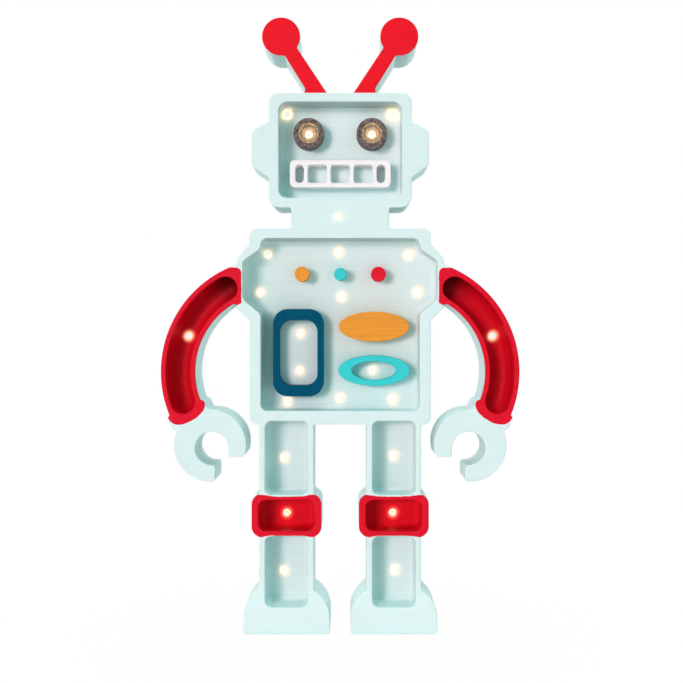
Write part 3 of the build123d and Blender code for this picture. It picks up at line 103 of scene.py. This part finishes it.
# ---------------------------------------------------------------- light
KEYS = (                                 # each soft light's way, strength, angle and colour
    ("left", Vector((0.475, 1.0, -0.13)), 1.70, 15.0, (1.0, 0.765, 0.785)),
    ("left_side", Vector((1.7, 1.0, -0.4)), 0.15, 24.0, (1.0, 0.65, 0.72)),
    ("right", Vector((-0.72, 1.0, -0.12)), 0.10, 16.0, (0.52, 1.0, 0.98)),
    ("right_side", Vector((-1.7, 1.0, -0.4)), 0.08, 24.0, (0.7, 1.0, 1.0)),
    ("upper_left", Vector((0.3, 1.0, -0.28)), 0.24, 20.0, (1.0, 0.72, 0.76)),
    ("upper_right", Vector((-0.5, 1.0, -0.30)), 0.15, 20.0, (0.60, 1.0, 0.98)),
    ("above", Vector((0.0, 0.25, -1.0)), 0.70, 24.0, (0.80, 1.0, 1.0)),
)
FRONT_FILL = (0.01, 0.17, 0.155, 1.0)    # light of the room in front of the lamp
BACK_FILL = (1.14, 1.10, 1.07, 1.0)      # light of the white room behind it
FILL_FROM = -0.2                         # the way's y at which the front room ends
FILL_TO = 0.4                            # and at which only the room behind is left
LED_TIP = 0.80
LED_SIDE = 2.6

# painted light: the leds' glow on the wood round each, as a tint of the paint and an emission
GLOW_BULBS = (
    "head_bulbs", "torso_bulbs", "arm_bulbs", "upper_leg_bulbs", "knee_bulbs", "lower_leg_bulbs",
)
SAME_LED = 6.0                           # vertices so near belong to one led
GLOW_REACH = 9.5                         # from a led's middle
GLOW_FOOT = 2.0
GLOW_SHARE = 0.36                        # how far the glow tints the mint paint
GLOW_STRENGTH = 0.20
GLOW_ARM_STRENGTH = 1.1
GLOW_KNEE_STRENGTH = 0.40
EYE_GLOW_REACH = (8.0, 2.0)
EYE_GLOW_STRENGTH = 0.2

# ---------------------------------------------------------------- colours, linear
MINT = (0.742, 0.886, 0.878)
MINT_SHADE_AND_STREAK = (0.26, 0.66, 0.65)           # painted shade in the recesses, and the colour of the sawn edges' grain streaks
RED = (0.78, 0.006, 0.024)
RED_BRIGHT = (0.90, 0.008, 0.020)        # on the antennae
# painted shade on the red in the recesses
RED_SHADE = (0.45, 0.001, 0.006)
# painted glints on the red
RED_GLINT = (0.98, 0.11, 0.14)
ORANGE = (0.87, 0.315, 0.034)
TURQUOISE = (0.040, 0.62, 0.64)
NAVY = (0.0005, 0.080, 0.150)
BROWN = (0.150, 0.112, 0.105)
WHITE = (0.98, 0.92, 0.93)
TAN = (0.22, 0.16, 0.11)
DISH_EDGE_HIGHLIGHT = (0.95, 0.60, 0.28)               # painted highlight of the led on the dishes' edge
EYE_GLOW = (1.0, 0.80, 0.52)             # painted light: the led's glow on the dish, as emission
GLOW = (0.92, 0.70, 0.48)                # of the leds, on mint
GLOW_RED = (1.0, 0.56, 0.32)             # and on red
BIRCH_DARK = (0.62, 0.43, 0.24)
BIRCH_PALE = (0.72, 0.55, 0.34)
MASK_DARK = (0.012, 0.12, 0.045)         # the circuit board's solder mask
MASK_PALE = (0.02, 0.19, 0.08)
LENS = (0.28, 0.26, 0.23)
FLOOR_GREY = (0.85, 0.85, 0.85, 1.0)
PAINT_SHEEN = 0.12
BOARD_SHEEN = 0.05
WOOD_SHEEN = 0.2

# ---------------------------------------------------------------- the board's paint
BOARD_GRAIN_TONE = 0.14
BOARD_BUMP = 0.07
RECESS_SHADE_REACH = 10.0
RECESS_SHADE_SHARE = 0.44                      # share of the painted shade in the recesses
LEG_RECESS_SHADE = -0.6                        # change of that share in the legs
TOP_PAINTED_LIGHT = 0.10                          # changes of the paint's tone, as shares: painted light on up-facing faces, painted shade on the pockets' floors but painted light on the head's, painted shade under overhangs, painted light on the feet
FLOOR_PAINTED_SHADE = -0.04
HEAD_FLOOR_PAINTED_LIGHT = 0.11
LEG_FLOOR_PAINTED_SHADE = -0.03
UNDER_PAINTED_SHADE = -0.30
FOOT_PAINTED_LIGHT = 0.07
STREAK_SHARE = 0.30                      # on the board's sawn edges
KNEE_RED_SHADE = 0.28                         # share of the painted shade on the red in the knees and in the troughs
ARM_RED_SHADE = 0.52
SHOULDER_PAINTED_SHADE = -0.78

# ---------------------------------------------------------------- floor
FLOOR_Z = -0.0004                        # metres
FLOOR_EDGES = (-4, 4, -3, 4)             # metres: x from, x to, y from, y to
SHADOW_SHARE = 0.02
SHADOW_REACH = (300.0, 110.0)
KEY_AWAY = 1.5                           # how far back along its way a light stands


def led_places():
    """The middle of each led in the recesses, seen from the front, as (x, z)."""
    boxes = []
    for name in GLOW_BULBS:
        node = nodes[name]
        for corner in node.data.vertices:
            point = node.matrix_world @ corner.co / MM
            for box in boxes:
                if abs(point.x - box[0]) < SAME_LED and abs(point.z - box[2]) < SAME_LED:
                    box[0], box[1] = min(box[0], point.x), max(box[1], point.x)
                    box[2], box[3] = min(box[2], point.z), max(box[3], point.z)
                    break
            else:
                boxes.append([point.x, point.x, point.z, point.z])
    return [((box[0] + box[1]) / 2, (box[2] + box[3]) / 2) for box in boxes]


LED_PLACES = led_places()


# ================================================================ node material helper
class Look:
    """A node material, written with short calls. Coordinates are the lamp's own, in millimetres."""

    def __init__(self, name):
        self.material = bpy.data.materials.new(name)
        self.material.use_nodes = True
        self.tree = self.material.node_tree
        self.tree.nodes.clear()
        self.out = self.add("ShaderNodeOutputMaterial")
        self.shader = self.add("ShaderNodeBsdfPrincipled")
        self.tree.links.new(self.shader.outputs[0], self.out.inputs["Surface"])
        place = self.add("ShaderNodeTexCoord")
        scaled = self.add("ShaderNodeVectorMath", operation="SCALE")
        scaled.inputs["Scale"].default_value = 1 / MM
        self.tree.links.new(place.outputs["Object"], scaled.inputs[0])
        self.place = scaled.outputs[0]
        self.x, self.y, self.z = self.split(self.place)

    def add(self, kind, **settings):
        node = self.tree.nodes.new(kind)
        for key, value in settings.items():
            setattr(node, key, value)
        return node

    def feed(self, socket, value):
        """Links a socket, or sets its own value; a colour may come without its fourth number."""
        if isinstance(value, bpy.types.NodeSocket):
            self.tree.links.new(value, socket)
        elif socket.type == "RGBA" and len(value) == 3:
            socket.default_value = (*value, 1.0)
        else:
            socket.default_value = value

    def set(self, **values):
        """Sets the shader's sockets, named with _ for spaces."""
        for key, value in values.items():
            self.feed(self.shader.inputs[key.replace("_", " ")], value)

    def split(self, vector):
        node = self.add("ShaderNodeSeparateXYZ")
        self.feed(node.inputs[0], vector)
        return node.outputs

    def normal(self):
        """The surface's own x, y and z direction."""
        return self.split(self.add("ShaderNodeNewGeometry").outputs["Normal"])

    def math(self, operation, *values):
        node = self.add("ShaderNodeMath", operation=operation)
        for socket, value in zip(node.inputs, values):
            self.feed(socket, value)
        return node.outputs[0]

    def total(self, *values):
        return self.chain("ADD", values)

    def product(self, *values):
        return self.chain("MULTIPLY", values)

    def most(self, *values):
        return self.chain("MAXIMUM", values)

    def chain(self, operation, values):
        result = values[0]
        for value in values[1:]:
            result = self.math(operation, result, value)
        return result

    def linear(self, value, factor, offset):
        return self.math("MULTIPLY_ADD", value, factor, offset)

    def length(self, a, b):
        return self.math("SQRT", self.total(self.product(a, a), self.product(b, b)))

    def step(self, value, low, high):
        """0 at low, 1 at high, smooth between; low may be above high."""
        if low < high:
            ends = (low, high, 0.0, 1.0)
        else:
            ends = (high, low, 1.0, 0.0)
        return self.ranged(value, ends, "SMOOTHSTEP")

    def behind(self, low, high):
        """0 at low, 1 at high, as depths behind the board's front face."""
        return self.step(self.y, FRONT_Y + low, FRONT_Y + high)

    def fit(self, value, low, high, to_low, to_high):
        return self.ranged(value, (low, high, to_low, to_high), "LINEAR")

    def between(self, share, a, b):
        """a where share is 0, b where it is 1."""
        return self.fit(share, 0.0, 1.0, a, b)

    def ranged(self, value, ends, kind):
        node = self.add("ShaderNodeMapRange", interpolation_type=kind)
        self.feed(node.inputs["Value"], value)
        for name, end in zip(("From Min", "From Max", "To Min", "To Max"), ends):
            self.feed(node.inputs[name], end)
        return node.outputs["Result"]

    def stretched(self, stretch):
        """Coordinates multiplied along each axis."""
        node = self.add("ShaderNodeVectorMath", operation="MULTIPLY")
        self.feed(node.inputs[0], self.place)
        node.inputs[1].default_value = stretch
        return node.outputs[0]

    def noise(self, stretch, detail=3.0, roughness=0.55, distortion=0.0):
        """Noise with so many waves per millimetre, along all axes or each axis."""
        if isinstance(stretch, float):
            stretch = (stretch, stretch, stretch)
        node = self.add("ShaderNodeTexNoise")
        self.feed(node.inputs["Vector"], self.stretched(stretch))
        node.inputs["Scale"].default_value = 1.0
        node.inputs["Detail"].default_value = detail
        node.inputs["Roughness"].default_value = roughness
        node.inputs["Distortion"].default_value = distortion
        return node.outputs["Fac"]

    def mix(self, amount, a, b):
        node = self.add("ShaderNodeMix", data_type="RGBA", blend_type="MIX")
        node.clamp_factor = True
        self.feed(node.inputs[0], amount)
        self.feed(node.inputs[6], a)
        self.feed(node.inputs[7], b)
        return node.outputs[2]

    def recess_shade(self, reach):
        """0 in the open, 1 deep in a recess, judged within so many millimetres; the amount of painted
        shade in recesses.
        """
        node = self.add("ShaderNodeAmbientOcclusion", samples=8)
        node.inputs["Distance"].default_value = reach * MM
        return self.step(node.outputs["AO"], 0.85, 0.15)

    def distance(self, vector, place):
        node = self.add("ShaderNodeVectorMath", operation="DISTANCE")
        self.feed(node.inputs[0], vector)
        node.inputs[1].default_value = place
        return node.outputs["Value"]

    def nearest(self, places):
        """The distance to the nearest of some places (x, z), seen from the front."""
        flat = self.stretched((1.0, 0.0, 1.0))
        return self.chain("MINIMUM", [self.distance(flat, (x, 0.0, z)) for x, z in places])

    def shade(self, colour, value):
        """Colour times a number near 1."""
        node = self.add("ShaderNodeVectorMath", operation="SCALE")
        self.feed(node.inputs[0], colour)
        self.feed(node.inputs["Scale"], value)
        return node.outputs[0]

    def bump(self, height, depth):
        """Bump of so many millimetres."""
        node = self.add("ShaderNodeBump")
        node.inputs["Strength"].default_value = 1.0
        node.inputs["Distance"].default_value = depth * MM
        self.feed(node.inputs["Height"], height)
        return node.outputs[0]


# ================================================================ paint on wood
def paint_detail(look, grain, way="x", coarse=0.0):
    """Raised grain under paint, along one way, with fine orange peel.

    Returns (height, tone): height for bump, tone near 0 for colour.
    """
    along = {"x": (0.02, 0.75, 0.75), "z": (0.75, 0.75, 0.02)}[way]
    wide = {"x": (0.006, 0.2, 0.2), "z": (0.2, 0.2, 0.006)}[way]
    lines = look.noise(along, detail=3.0, roughness=0.75, distortion=0.2)
    bands = look.noise(wide, detail=1.0, distortion=0.3)
    peel = look.noise(1.4, detail=2.0)
    height = look.total(look.product(lines, grain), look.product(peel, 0.35 + coarse))
    tone = look.math("SUBTRACT", look.linear(bands, 0.1, lines), 0.55)
    return height, tone


def painted(name, colour, way="x", grain=1.0, tone=0.10, coarse=0.0, sheen=PAINT_SHEEN):
    """Satin paint through which the grain shows."""
    look = Look(name)
    height, shade = paint_detail(look, grain, way, coarse)
    look.set(
        Base_Color=look.shade(colour, look.linear(shade, tone, 1.0)),
        Roughness=look.fit(height, 0.3, 1.1, 0.54, 0.42),
        Normal=look.bump(height, 0.06),
        Specular_IOR_Level=sheen,
    )
    return look.material


def knee_mask(look, face, front, side, z):
    """The knees: the front face and the pocket inside it, with a brush's uneven edge."""
    across = look.math("ABSOLUTE", look.math("SUBTRACT", side, LEG_X))
    dip = look.step(across, *KNEE_DIP)
    top = look.math("SUBTRACT", KNEE_HIGH, look.product(dip, KNEE_DIP_TOP))
    foot = look.total(KNEE_LOW, look.product(dip, KNEE_DIP_FOOT))
    below = look.step(look.math("SUBTRACT", z, top), 0.25, -0.25)
    above = look.step(look.math("SUBTRACT", z, foot), -0.25, 0.25)
    level = look.math("ABSOLUTE", look.math("SUBTRACT", look.z, (KNEE_LOW + KNEE_HIGH) / 2))
    inner = look.product(
        look.step(across, KNEE_POCKET_HALF_W, KNEE_POCKET_HALF_W - 0.3),
        look.step(level, KNEE_POCKET_HALF_H, KNEE_POCKET_HALF_H - 0.3),
        front,
    )
    beside = look.step(across, KNEE_HALF_W + 3, KNEE_HALF_W + 2)
    return look.product(below, above, beside, look.most(face, inner))


def arm_mask(look, face, front, side, x, z, wobble):
    """The arms: a band of the ring, cut straight at the torso and round at the wrist."""
    u = look.math("SUBTRACT", side, ARM_X)
    v = look.math("SUBTRACT", look.z, ARM_Z)
    out = look.math("SUBTRACT", look.length(u, v), ARM_MID_R)
    angle = look.math("ARCTAN2", v, u)
    past = look.most(look.linear(angle, -ARM_MID_R, WRIST_ANGLE * ARM_MID_R), 0.0)
    half_w = look.between(look.step(out, 2.0, 8.0), WRIST_INNER_W, WRIST_OUTER_W)
    p = look.math("DIVIDE", look.math("ABSOLUTE", look.total(out, WRIST_MID)), half_w)
    q = look.math("DIVIDE", look.total(past, wobble), WRIST_LENGTH)
    wrist = look.total(
        look.math("POWER", p, WRIST_POWER), look.math("POWER", look.most(q, 0.0), WRIST_POWER)
    )
    corner_x = look.most(look.math("SUBTRACT", CUFF_X, x), 0.0)
    corner_z = look.most(look.math("SUBTRACT", z, CUFF_Z), 0.0)
    shoulder = look.step(look.length(corner_x, corner_z), CUFF_R + 0.15, CUFF_R - 0.15)
    across = look.math("ABSOLUTE", out)
    trough = look.product(look.step(across, ARM_HALF_W - 1.2, ARM_HALF_W - 1.5), front)
    low = look.step(look.z, ARM_LOW_Z, ARM_LOW_Z + 2.0)
    return look.product(look.step(wrist, 1.02, 0.98), shoulder, low, look.most(face, trough))


def red_mask(look):
    """1 where the board is red: antennae, arms' faces and troughs, knees' faces and pockets."""
    wave = look.noise(0.11, detail=2.0)
    ripple = look.noise(0.6, detail=1.0)
    wobble = look.total(
        look.linear(wave, EDGE_WAVE, -EDGE_WAVE / 2),
        look.linear(ripple, EDGE_RIPPLE, -EDGE_RIPPLE / 2),
    )
    side = look.math("ABSOLUTE", look.x)
    x = look.total(side, wobble)
    z = look.total(look.z, wobble)
    face = look.behind(*FACE_BAND)
    front = look.step(look.y, *RED_BACK)
    antenna = look.product(look.step(look.z, HEAD_TOP - 0.1, HEAD_TOP + 0.3), face)
    knee = knee_mask(look, face, front, side, z)
    arm = arm_mask(look, face, front, side, x, z, wobble)
    return look.most(antenna, knee, arm)


def mint_paint(look, shade, glow):
    """Mint: painted shade in recesses, under overhangs and on pocket floors, painted light on top
    faces, the feet and the head's floor, streaked grain on sawn edges, and a painted glow round the
    leds.
    """
    facing = look.normal()
    upward = look.step(facing[2], 0.2, 0.7)
    downward = look.step(facing[2], -0.75, -0.95)
    sideways = look.step(look.math("ABSOLUTE", facing[1]), 0.75, 0.35)
    sunk = look.behind(*FLOOR_BAND)
    head = look.step(look.z, *HEAD_LEVEL)
    legs = look.step(look.z, *LEG_LEVEL)
    feet = look.step(look.z, *FOOT_LEVEL)
    floor_light_and_shade = look.total(
        FLOOR_PAINTED_SHADE, look.product(head, HEAD_FLOOR_PAINTED_LIGHT), look.product(legs, LEG_FLOOR_PAINTED_SHADE)
    )
    # painted light and shade: tops, feet and the head's floor lighter, undersides and other pocket
    # floors darker
    value = look.product(
        look.linear(shade, BOARD_GRAIN_TONE, 1.0),
        look.linear(upward, TOP_PAINTED_LIGHT, 1.0),
        look.linear(sunk, floor_light_and_shade, 1.0),
        look.linear(downward, UNDER_PAINTED_SHADE, 1.0),
        look.linear(feet, FOOT_PAINTED_LIGHT, 1.0),
    )
    # painted shade: the mint turns deep teal where the surface is occluded, less on up-facing faces
    # and in the legs
    recess_shade = look.product(
        look.recess_shade(RECESS_SHADE_REACH),
        look.between(upward, RECESS_SHADE_SHARE, 0.0),
        look.linear(legs, LEG_RECESS_SHADE, 1.0),
    )
    mint = look.shade(look.mix(recess_shade, MINT, MINT_SHADE_AND_STREAK), value)
    grain = look.noise((0.05, 0.9, 0.05), detail=3.0, roughness=0.6, distortion=0.4)
    streaks = look.product(look.step(grain, 0.50, 0.64), sideways, STREAK_SHARE)
    mint = look.mix(streaks, mint, MINT_SHADE_AND_STREAK)
    # painted light: the leds' glow tints the mint
    return look.mix(look.product(glow, GLOW_SHARE), mint, GLOW)


def red_paint(look, shade):
    """Red: brighter on the antennae, with painted shade in the recesses and at the troughs' upper
    ends, and painted glints.
    """
    depth = look.behind(*POCKET_BAND)
    red = look.mix(look.step(look.z, HEAD_TOP - 2.0, HEAD_TOP - 1.0), RED, RED_BRIGHT)
    # painted shade: the red darkens with depth in the knees' pockets and the arms' troughs
    deep = look.between(look.step(look.z, *ARM_LEVEL), KNEE_RED_SHADE, ARM_RED_SHADE)
    red = look.mix(look.product(depth, deep), red, RED_SHADE)
    # painted shade: the troughs darken toward their upper end at the shoulder
    aside = look.add("ShaderNodeVectorMath", operation="ABSOLUTE")
    look.feed(aside.inputs[0], look.stretched((1.0, 0.0, 1.0)))
    shoulder_shade = look.product(
        look.step(look.distance(aside.outputs[0], SHOULDER), *SHOULDER_REACH),
        look.behind(*TROUGH_BAND),
    )
    red = look.shade(red, look.linear(shoulder_shade, SHOULDER_PAINTED_SHADE, 1.0))
    # painted glints: bright red-pink specks on the red, fewer deep in the recesses
    specks = look.step(look.noise(1.3, detail=1.0), 0.60, 0.70)
    red = look.mix(look.product(specks, look.between(depth, 0.20, 0.12)), red, RED_GLINT)
    return look.shade(red, look.linear(shade, 0.2, 1.0))


def board_paint():
    """Mint paint with red faces; rougher, speckled paint on the red, and a painted glow round each
    led.
    """
    look = Look("board_paint")
    mask = red_mask(look)
    height, shade = paint_detail(look, 1.0)
    speckle = look.noise(1.7, detail=2.0)
    height = look.total(height, look.product(speckle, mask, 1.3), look.product(mask, 0.9))
    # painted light: emission and tint on the paint round each led, warmer on the red
    near = look.step(look.nearest(LED_PLACES), GLOW_REACH, GLOW_FOOT)
    glow = look.product(
        look.math("POWER", near, 2.0),
        look.behind(*GLOW_BAND),
        look.step(look.y, *GLOW_BACK),
    )
    arms = look.step(look.z, *ARM_LEVEL)
    red_strength = look.between(arms, GLOW_KNEE_STRENGTH, GLOW_ARM_STRENGTH)
    red_glow = look.product(look.math("POWER", glow, 2.5), red_strength)
    look.set(
        Base_Color=look.mix(mask, mint_paint(look, shade, glow), red_paint(look, shade)),
        Roughness=look.between(mask, 0.50, 0.40),
        Normal=look.bump(height, BOARD_BUMP),
        Emission_Color=look.mix(mask, GLOW, GLOW_RED),
        Emission_Strength=look.between(mask, look.product(glow, GLOW_STRENGTH), red_glow),
        Specular_IOR_Level=BOARD_SHEEN,
    )
    return look.material


def stained_wood():
    """Dark stain with coarse pores on the eyes, paler bare wood in their dishes, a painted highlight
    on the dishes' edge and a painted led glow.
    """
    look = Look("brown_wood")
    pores = look.noise(0.9, detail=3.0, roughness=0.7)
    patches = look.noise(0.35, detail=2.0)
    apart = look.nearest([(place.x, place.z) for place in EYE_PLACES])
    wobble = look.linear(patches, 0.8, -0.4)
    dish = look.step(look.total(apart, wobble), EYE_DISH + 0.3, EYE_DISH - 0.3)
    tone = look.total(
        look.between(look.step(pores, 0.42, 0.58), 0.30, 1.75), look.linear(patches, 0.4, -0.2)
    )
    bare = look.shade(TAN, look.between(look.step(pores, 0.40, 0.60), 0.55, 1.45))
    # painted highlight: a peach ring at the dish's edge where the led lights it
    edge = look.product(
        look.step(apart, EYE_DISH - 1.4, EYE_DISH - 0.6), look.step(pores, 0.40, 0.55)
    )
    bare = look.mix(edge, bare, DISH_EDGE_HIGHLIGHT)
    # painted light: an emission glow round the led in each dish
    glow = look.math("POWER", look.step(apart, *EYE_GLOW_REACH), 2.0)
    look.set(
        Base_Color=look.mix(dish, look.shade(BROWN, tone), bare),
        Roughness=look.fit(pores, 0.3, 0.7, 0.75, 0.5),
        Normal=look.bump(pores, 0.25),
        Emission_Color=EYE_GLOW,
        Emission_Strength=look.product(glow, EYE_GLOW_STRENGTH),
        Specular_IOR_Level=WOOD_SHEEN,
    )
    return look.material


# ================================================================ the other materials
def plywood():
    """Bare birch plywood: pale, with long figure along z."""
    look = Look("plywood")
    figure = look.noise((0.10, 0.10, 0.006), detail=3.0, roughness=0.6, distortion=1.2)
    pores = look.noise((1.6, 1.6, 0.05), detail=3.0, roughness=0.7)
    tone = look.total(look.product(figure, 0.30), look.product(pores, 0.16), 0.77)
    look.set(
        Base_Color=look.shade(look.mix(figure, BIRCH_DARK, BIRCH_PALE), tone),
        Roughness=look.fit(pores, 0.2, 0.8, 0.72, 0.56),
        Normal=look.bump(look.total(pores, look.product(figure, 0.4)), 0.05),
    )
    return look.material


def moulded(name, colour, roughness=0.5, grain=0.02):
    """Moulded plastic with a fine spark-eroded texture."""
    look = Look(name)
    texture = look.noise(4.0, detail=3.0, roughness=0.7)
    wide = look.noise(0.2, detail=1.0)
    look.set(
        Base_Color=look.shade(colour, look.linear(wide, 0.2, 0.9)),
        Roughness=look.fit(texture, 0.3, 0.7, roughness - 0.08, roughness + 0.08),
        Normal=look.bump(texture, grain),
    )
    return look.material


def metal(name, colour, roughness):
    """Plated or plain metal, brushed along x."""
    look = Look(name)
    brush = look.noise((0.15, 6.0, 6.0), detail=3.0, roughness=0.7)
    stain = look.noise(0.3, detail=2.0)
    look.set(
        Base_Color=look.shade(colour, look.linear(stain, 0.24, 0.88)),
        Roughness=look.fit(brush, 0.2, 0.8, roughness - 0.1, roughness + 0.1),
        Normal=look.bump(brush, 0.015),
        Metallic=1.0,
    )
    return look.material


def circuit_board():
    """Green solder mask, mottled by the weave under it."""
    look = Look("circuit_board")
    weave = look.noise(1.5, detail=2.0)
    look.set(
        Base_Color=look.mix(weave, MASK_DARK, MASK_PALE),
        Roughness=look.fit(weave, 0.3, 0.7, 0.3, 0.45),
        Normal=look.bump(weave, 0.02),
    )
    return look.material


def led_lens(name, lit_colour, side_colour, side):
    """Clear lens, lit from within: pale at its tip, warm and stronger out of its sides."""
    look = Look(name)
    tip = look.step(look.product(look.normal()[1], -1.0), 0.02, 0.12)
    swirl = look.noise(0.8, detail=2.0, roughness=0.8)
    specks = look.step(swirl, 0.58, 0.50)
    dull = tuple(a * b for a, b in zip(lit_colour, (1.0, 0.86, 0.84)))
    look.set(
        Base_Color=LENS,
        Roughness=look.fit(swirl, 0.3, 0.7, 0.12, 0.2),
        Emission_Color=look.mix(tip, side_colour, look.mix(specks, dull, lit_colour)),
        Emission_Strength=look.between(tip, side, look.linear(specks, 0.12, LED_TIP - 0.06)),
        Coat_Weight=0.3,
    )
    return look.material


LOOKS = {
    "painted_pine": board_paint(),
    "brown_wood": stained_wood(),
    "white_wood": painted("white_paint", WHITE, grain=0.5, tone=0.03),
    "orange_wood": painted("orange_paint", ORANGE, grain=1.3, tone=0.55),
    "turquoise_wood": painted("turquoise_paint", TURQUOISE, grain=0.8, tone=0.20, coarse=0.9),
    "red_wood": painted("red_paint", RED, grain=0.8, tone=0.20, coarse=0.3),
    "navy_wood": painted("navy_paint", NAVY, "z", grain=1.5, tone=0.9, coarse=0.4, sheen=0.02),
    "led_lens": led_lens("led_lens", (1.0, 0.95, 0.90), (1.0, 0.62, 0.46), LED_SIDE),
    "black_plastic": moulded("black_plastic", (0.03, 0.03, 0.032)),
    "rocker_plastic": moulded("rocker_plastic", (0.035, 0.035, 0.035), roughness=0.28, grain=0.006),
    "wire_jacket": moulded("wire_jacket", (0.04, 0.04, 0.04), roughness=0.45, grain=0.01),
    "red_jacket": moulded("red_jacket", (0.42, 0.02, 0.02), roughness=0.42, grain=0.01),
    "plywood": plywood(),
    "steel": metal("steel", (0.62, 0.62, 0.63), 0.32),
    "brass": metal("brass", (0.78, 0.60, 0.28), 0.28),
    "circuit_board": circuit_board(),
    "nylon": moulded("nylon", (0.80, 0.79, 0.75), grain=0.008),
}
OWN_LOOKS = {
    "chest_button_orange": painted("orange_button_paint", ORANGE, "z", grain=1.3, tone=0.5),
    "knee_bulbs": led_lens("led_lens_warm", (1.0, 0.92, 0.66), (1.0, 0.70, 0.30), 7.0),
    "head_bulbs": led_lens("led_lens_gold", (1.0, 0.94, 0.83), (1.0, 0.54, 0.24), 7.0),
    "neck_bulb": led_lens("led_lens_pale", (1.0, 0.92, 0.80), (1.0, 0.64, 0.44), 2.2),
    "eye_bulbs": led_lens("led_lens_eye", (1.0, 0.95, 0.84), (1.0, 0.80, 0.60), 10.0),
}
slot_of = {row["node"]: row["material_slot"] for row in frame["record"]["subparts"]}
for name, node in nodes.items():
    node.data.materials.clear()
    node.data.materials.append(OWN_LOOKS.get(name) or LOOKS[slot_of[name]])


# ================================================================ stage
def white_rays(tree):
    """1 for the rays that see the stage white: straight, in a reflection or through a lens."""
    path = tree.nodes.new("ShaderNodeLightPath")
    seen = path.outputs["Is Camera Ray"]
    for ray in ("Is Glossy Ray", "Is Transmission Ray"):
        most = tree.nodes.new("ShaderNodeMath")
        most.operation = "MAXIMUM"
        tree.links.new(seen, most.inputs[0])
        tree.links.new(path.outputs[ray], most.inputs[1])
        seen = most.outputs[0]
    return seen


def floor_look():
    """White seen directly or in a reflection, which keeps a share of the lamp's shadow near it."""
    look = Look("floor_white")
    share = look.product(look.step(look.length(look.x, look.y), *SHADOW_REACH), SHADOW_SHARE)
    white = look.add("ShaderNodeEmission")
    white.inputs["Strength"].default_value = 1.0
    diffuse = look.add("ShaderNodeBsdfDiffuse")
    diffuse.inputs["Color"].default_value = FLOOR_GREY
    mix = look.add("ShaderNodeMixShader")
    look.feed(mix.inputs[0], look.product(white_rays(look.tree), look.math("SUBTRACT", 1.0, share)))
    look.feed(mix.inputs[1], diffuse.outputs[0])
    look.feed(mix.inputs[2], white.outputs[0])
    look.feed(look.out.inputs["Surface"], mix.outputs[0])
    look.tree.nodes.remove(look.shader)
    return look.material


def add_floor():
    x0, x1, y0, y1 = FLOOR_EDGES
    mesh = bpy.data.meshes.new("floor")
    corners = [(x0, y0, FLOOR_Z), (x1, y0, FLOOR_Z), (x1, y1, FLOOR_Z), (x0, y1, FLOOR_Z)]
    mesh.from_pydata(corners, [], [(0, 1, 2, 3)])
    mesh.materials.append(floor_look())
    thing = bpy.data.objects.new("floor", mesh)
    bpy.context.scene.collection.objects.link(thing)


def add_world():
    """A white backdrop, and a room that lights the lamp: dim teal in front, white behind."""
    world = bpy.data.worlds.new("studio")
    bpy.context.scene.world = world
    world.use_nodes = True
    tree = world.node_tree
    tree.nodes.clear()
    way = tree.nodes.new("ShaderNodeTexCoord")
    parts = tree.nodes.new("ShaderNodeSeparateXYZ")
    behind = tree.nodes.new("ShaderNodeMapRange")
    behind.interpolation_type = "SMOOTHSTEP"
    behind.inputs["From Min"].default_value = FILL_FROM
    behind.inputs["From Max"].default_value = FILL_TO
    room = tree.nodes.new("ShaderNodeMix")
    room.data_type = "RGBA"
    room.inputs[6].default_value = FRONT_FILL
    room.inputs[7].default_value = BACK_FILL
    ambient = tree.nodes.new("ShaderNodeBackground")
    backdrop = tree.nodes.new("ShaderNodeBackground")
    backdrop.inputs["Color"].default_value = (1.0, 1.0, 1.0, 1.0)
    backdrop.inputs["Strength"].default_value = 1.0
    mix = tree.nodes.new("ShaderNodeMixShader")
    out = tree.nodes.new("ShaderNodeOutputWorld")
    for source, target in (
        (way.outputs["Generated"], parts.inputs[0]),
        (parts.outputs["Y"], behind.inputs["Value"]),
        (behind.outputs["Result"], room.inputs[0]),
        (room.outputs[2], ambient.inputs["Color"]),
        (white_rays(tree), mix.inputs[0]),
        (ambient.outputs[0], mix.inputs[1]),
        (backdrop.outputs[0], mix.inputs[2]),
        (mix.outputs[0], out.inputs["Surface"]),
    ):
        tree.links.new(source, target)


def add_key(name, way, strength, angle, colour):
    """A soft sun that shines along way."""
    key = bpy.data.objects.new(f"key_{name}", bpy.data.lights.new(f"key_{name}", "SUN"))
    key.data.energy = strength
    key.data.angle = math.radians(angle)
    key.data.color = colour
    key.location = -KEY_AWAY * way
    key.rotation_euler = way.to_track_quat("-Z", "Y").to_euler()
    bpy.context.scene.collection.objects.link(key)


def add_camera():
    camera = bpy.data.objects.new("camera", bpy.data.cameras.new("camera"))
    camera.data.sensor_width = SENSOR_MM
    camera.data.lens = FOCAL_PX / FRAME_PX * SENSOR_MM
    camera.data.shift_x = (FRAME_PX / 2 - VIEW_PX[0]) / FRAME_PX
    camera.data.shift_y = (VIEW_PX[1] - FRAME_PX / 2) / FRAME_PX
    camera.data.clip_start = 0.02
    camera.location = (CAMERA_X * MM, (FRONT_Y - CAMERA_AHEAD) * MM, CAMERA_Z * MM)
    camera.rotation_euler = (math.radians(90), 0, 0)
    bpy.context.scene.collection.objects.link(camera)
    bpy.context.scene.camera = camera


add_floor()
add_world()
for key in KEYS:
    add_key(*key)
add_camera()
bpy.context.scene.view_settings.view_transform = "Standard"
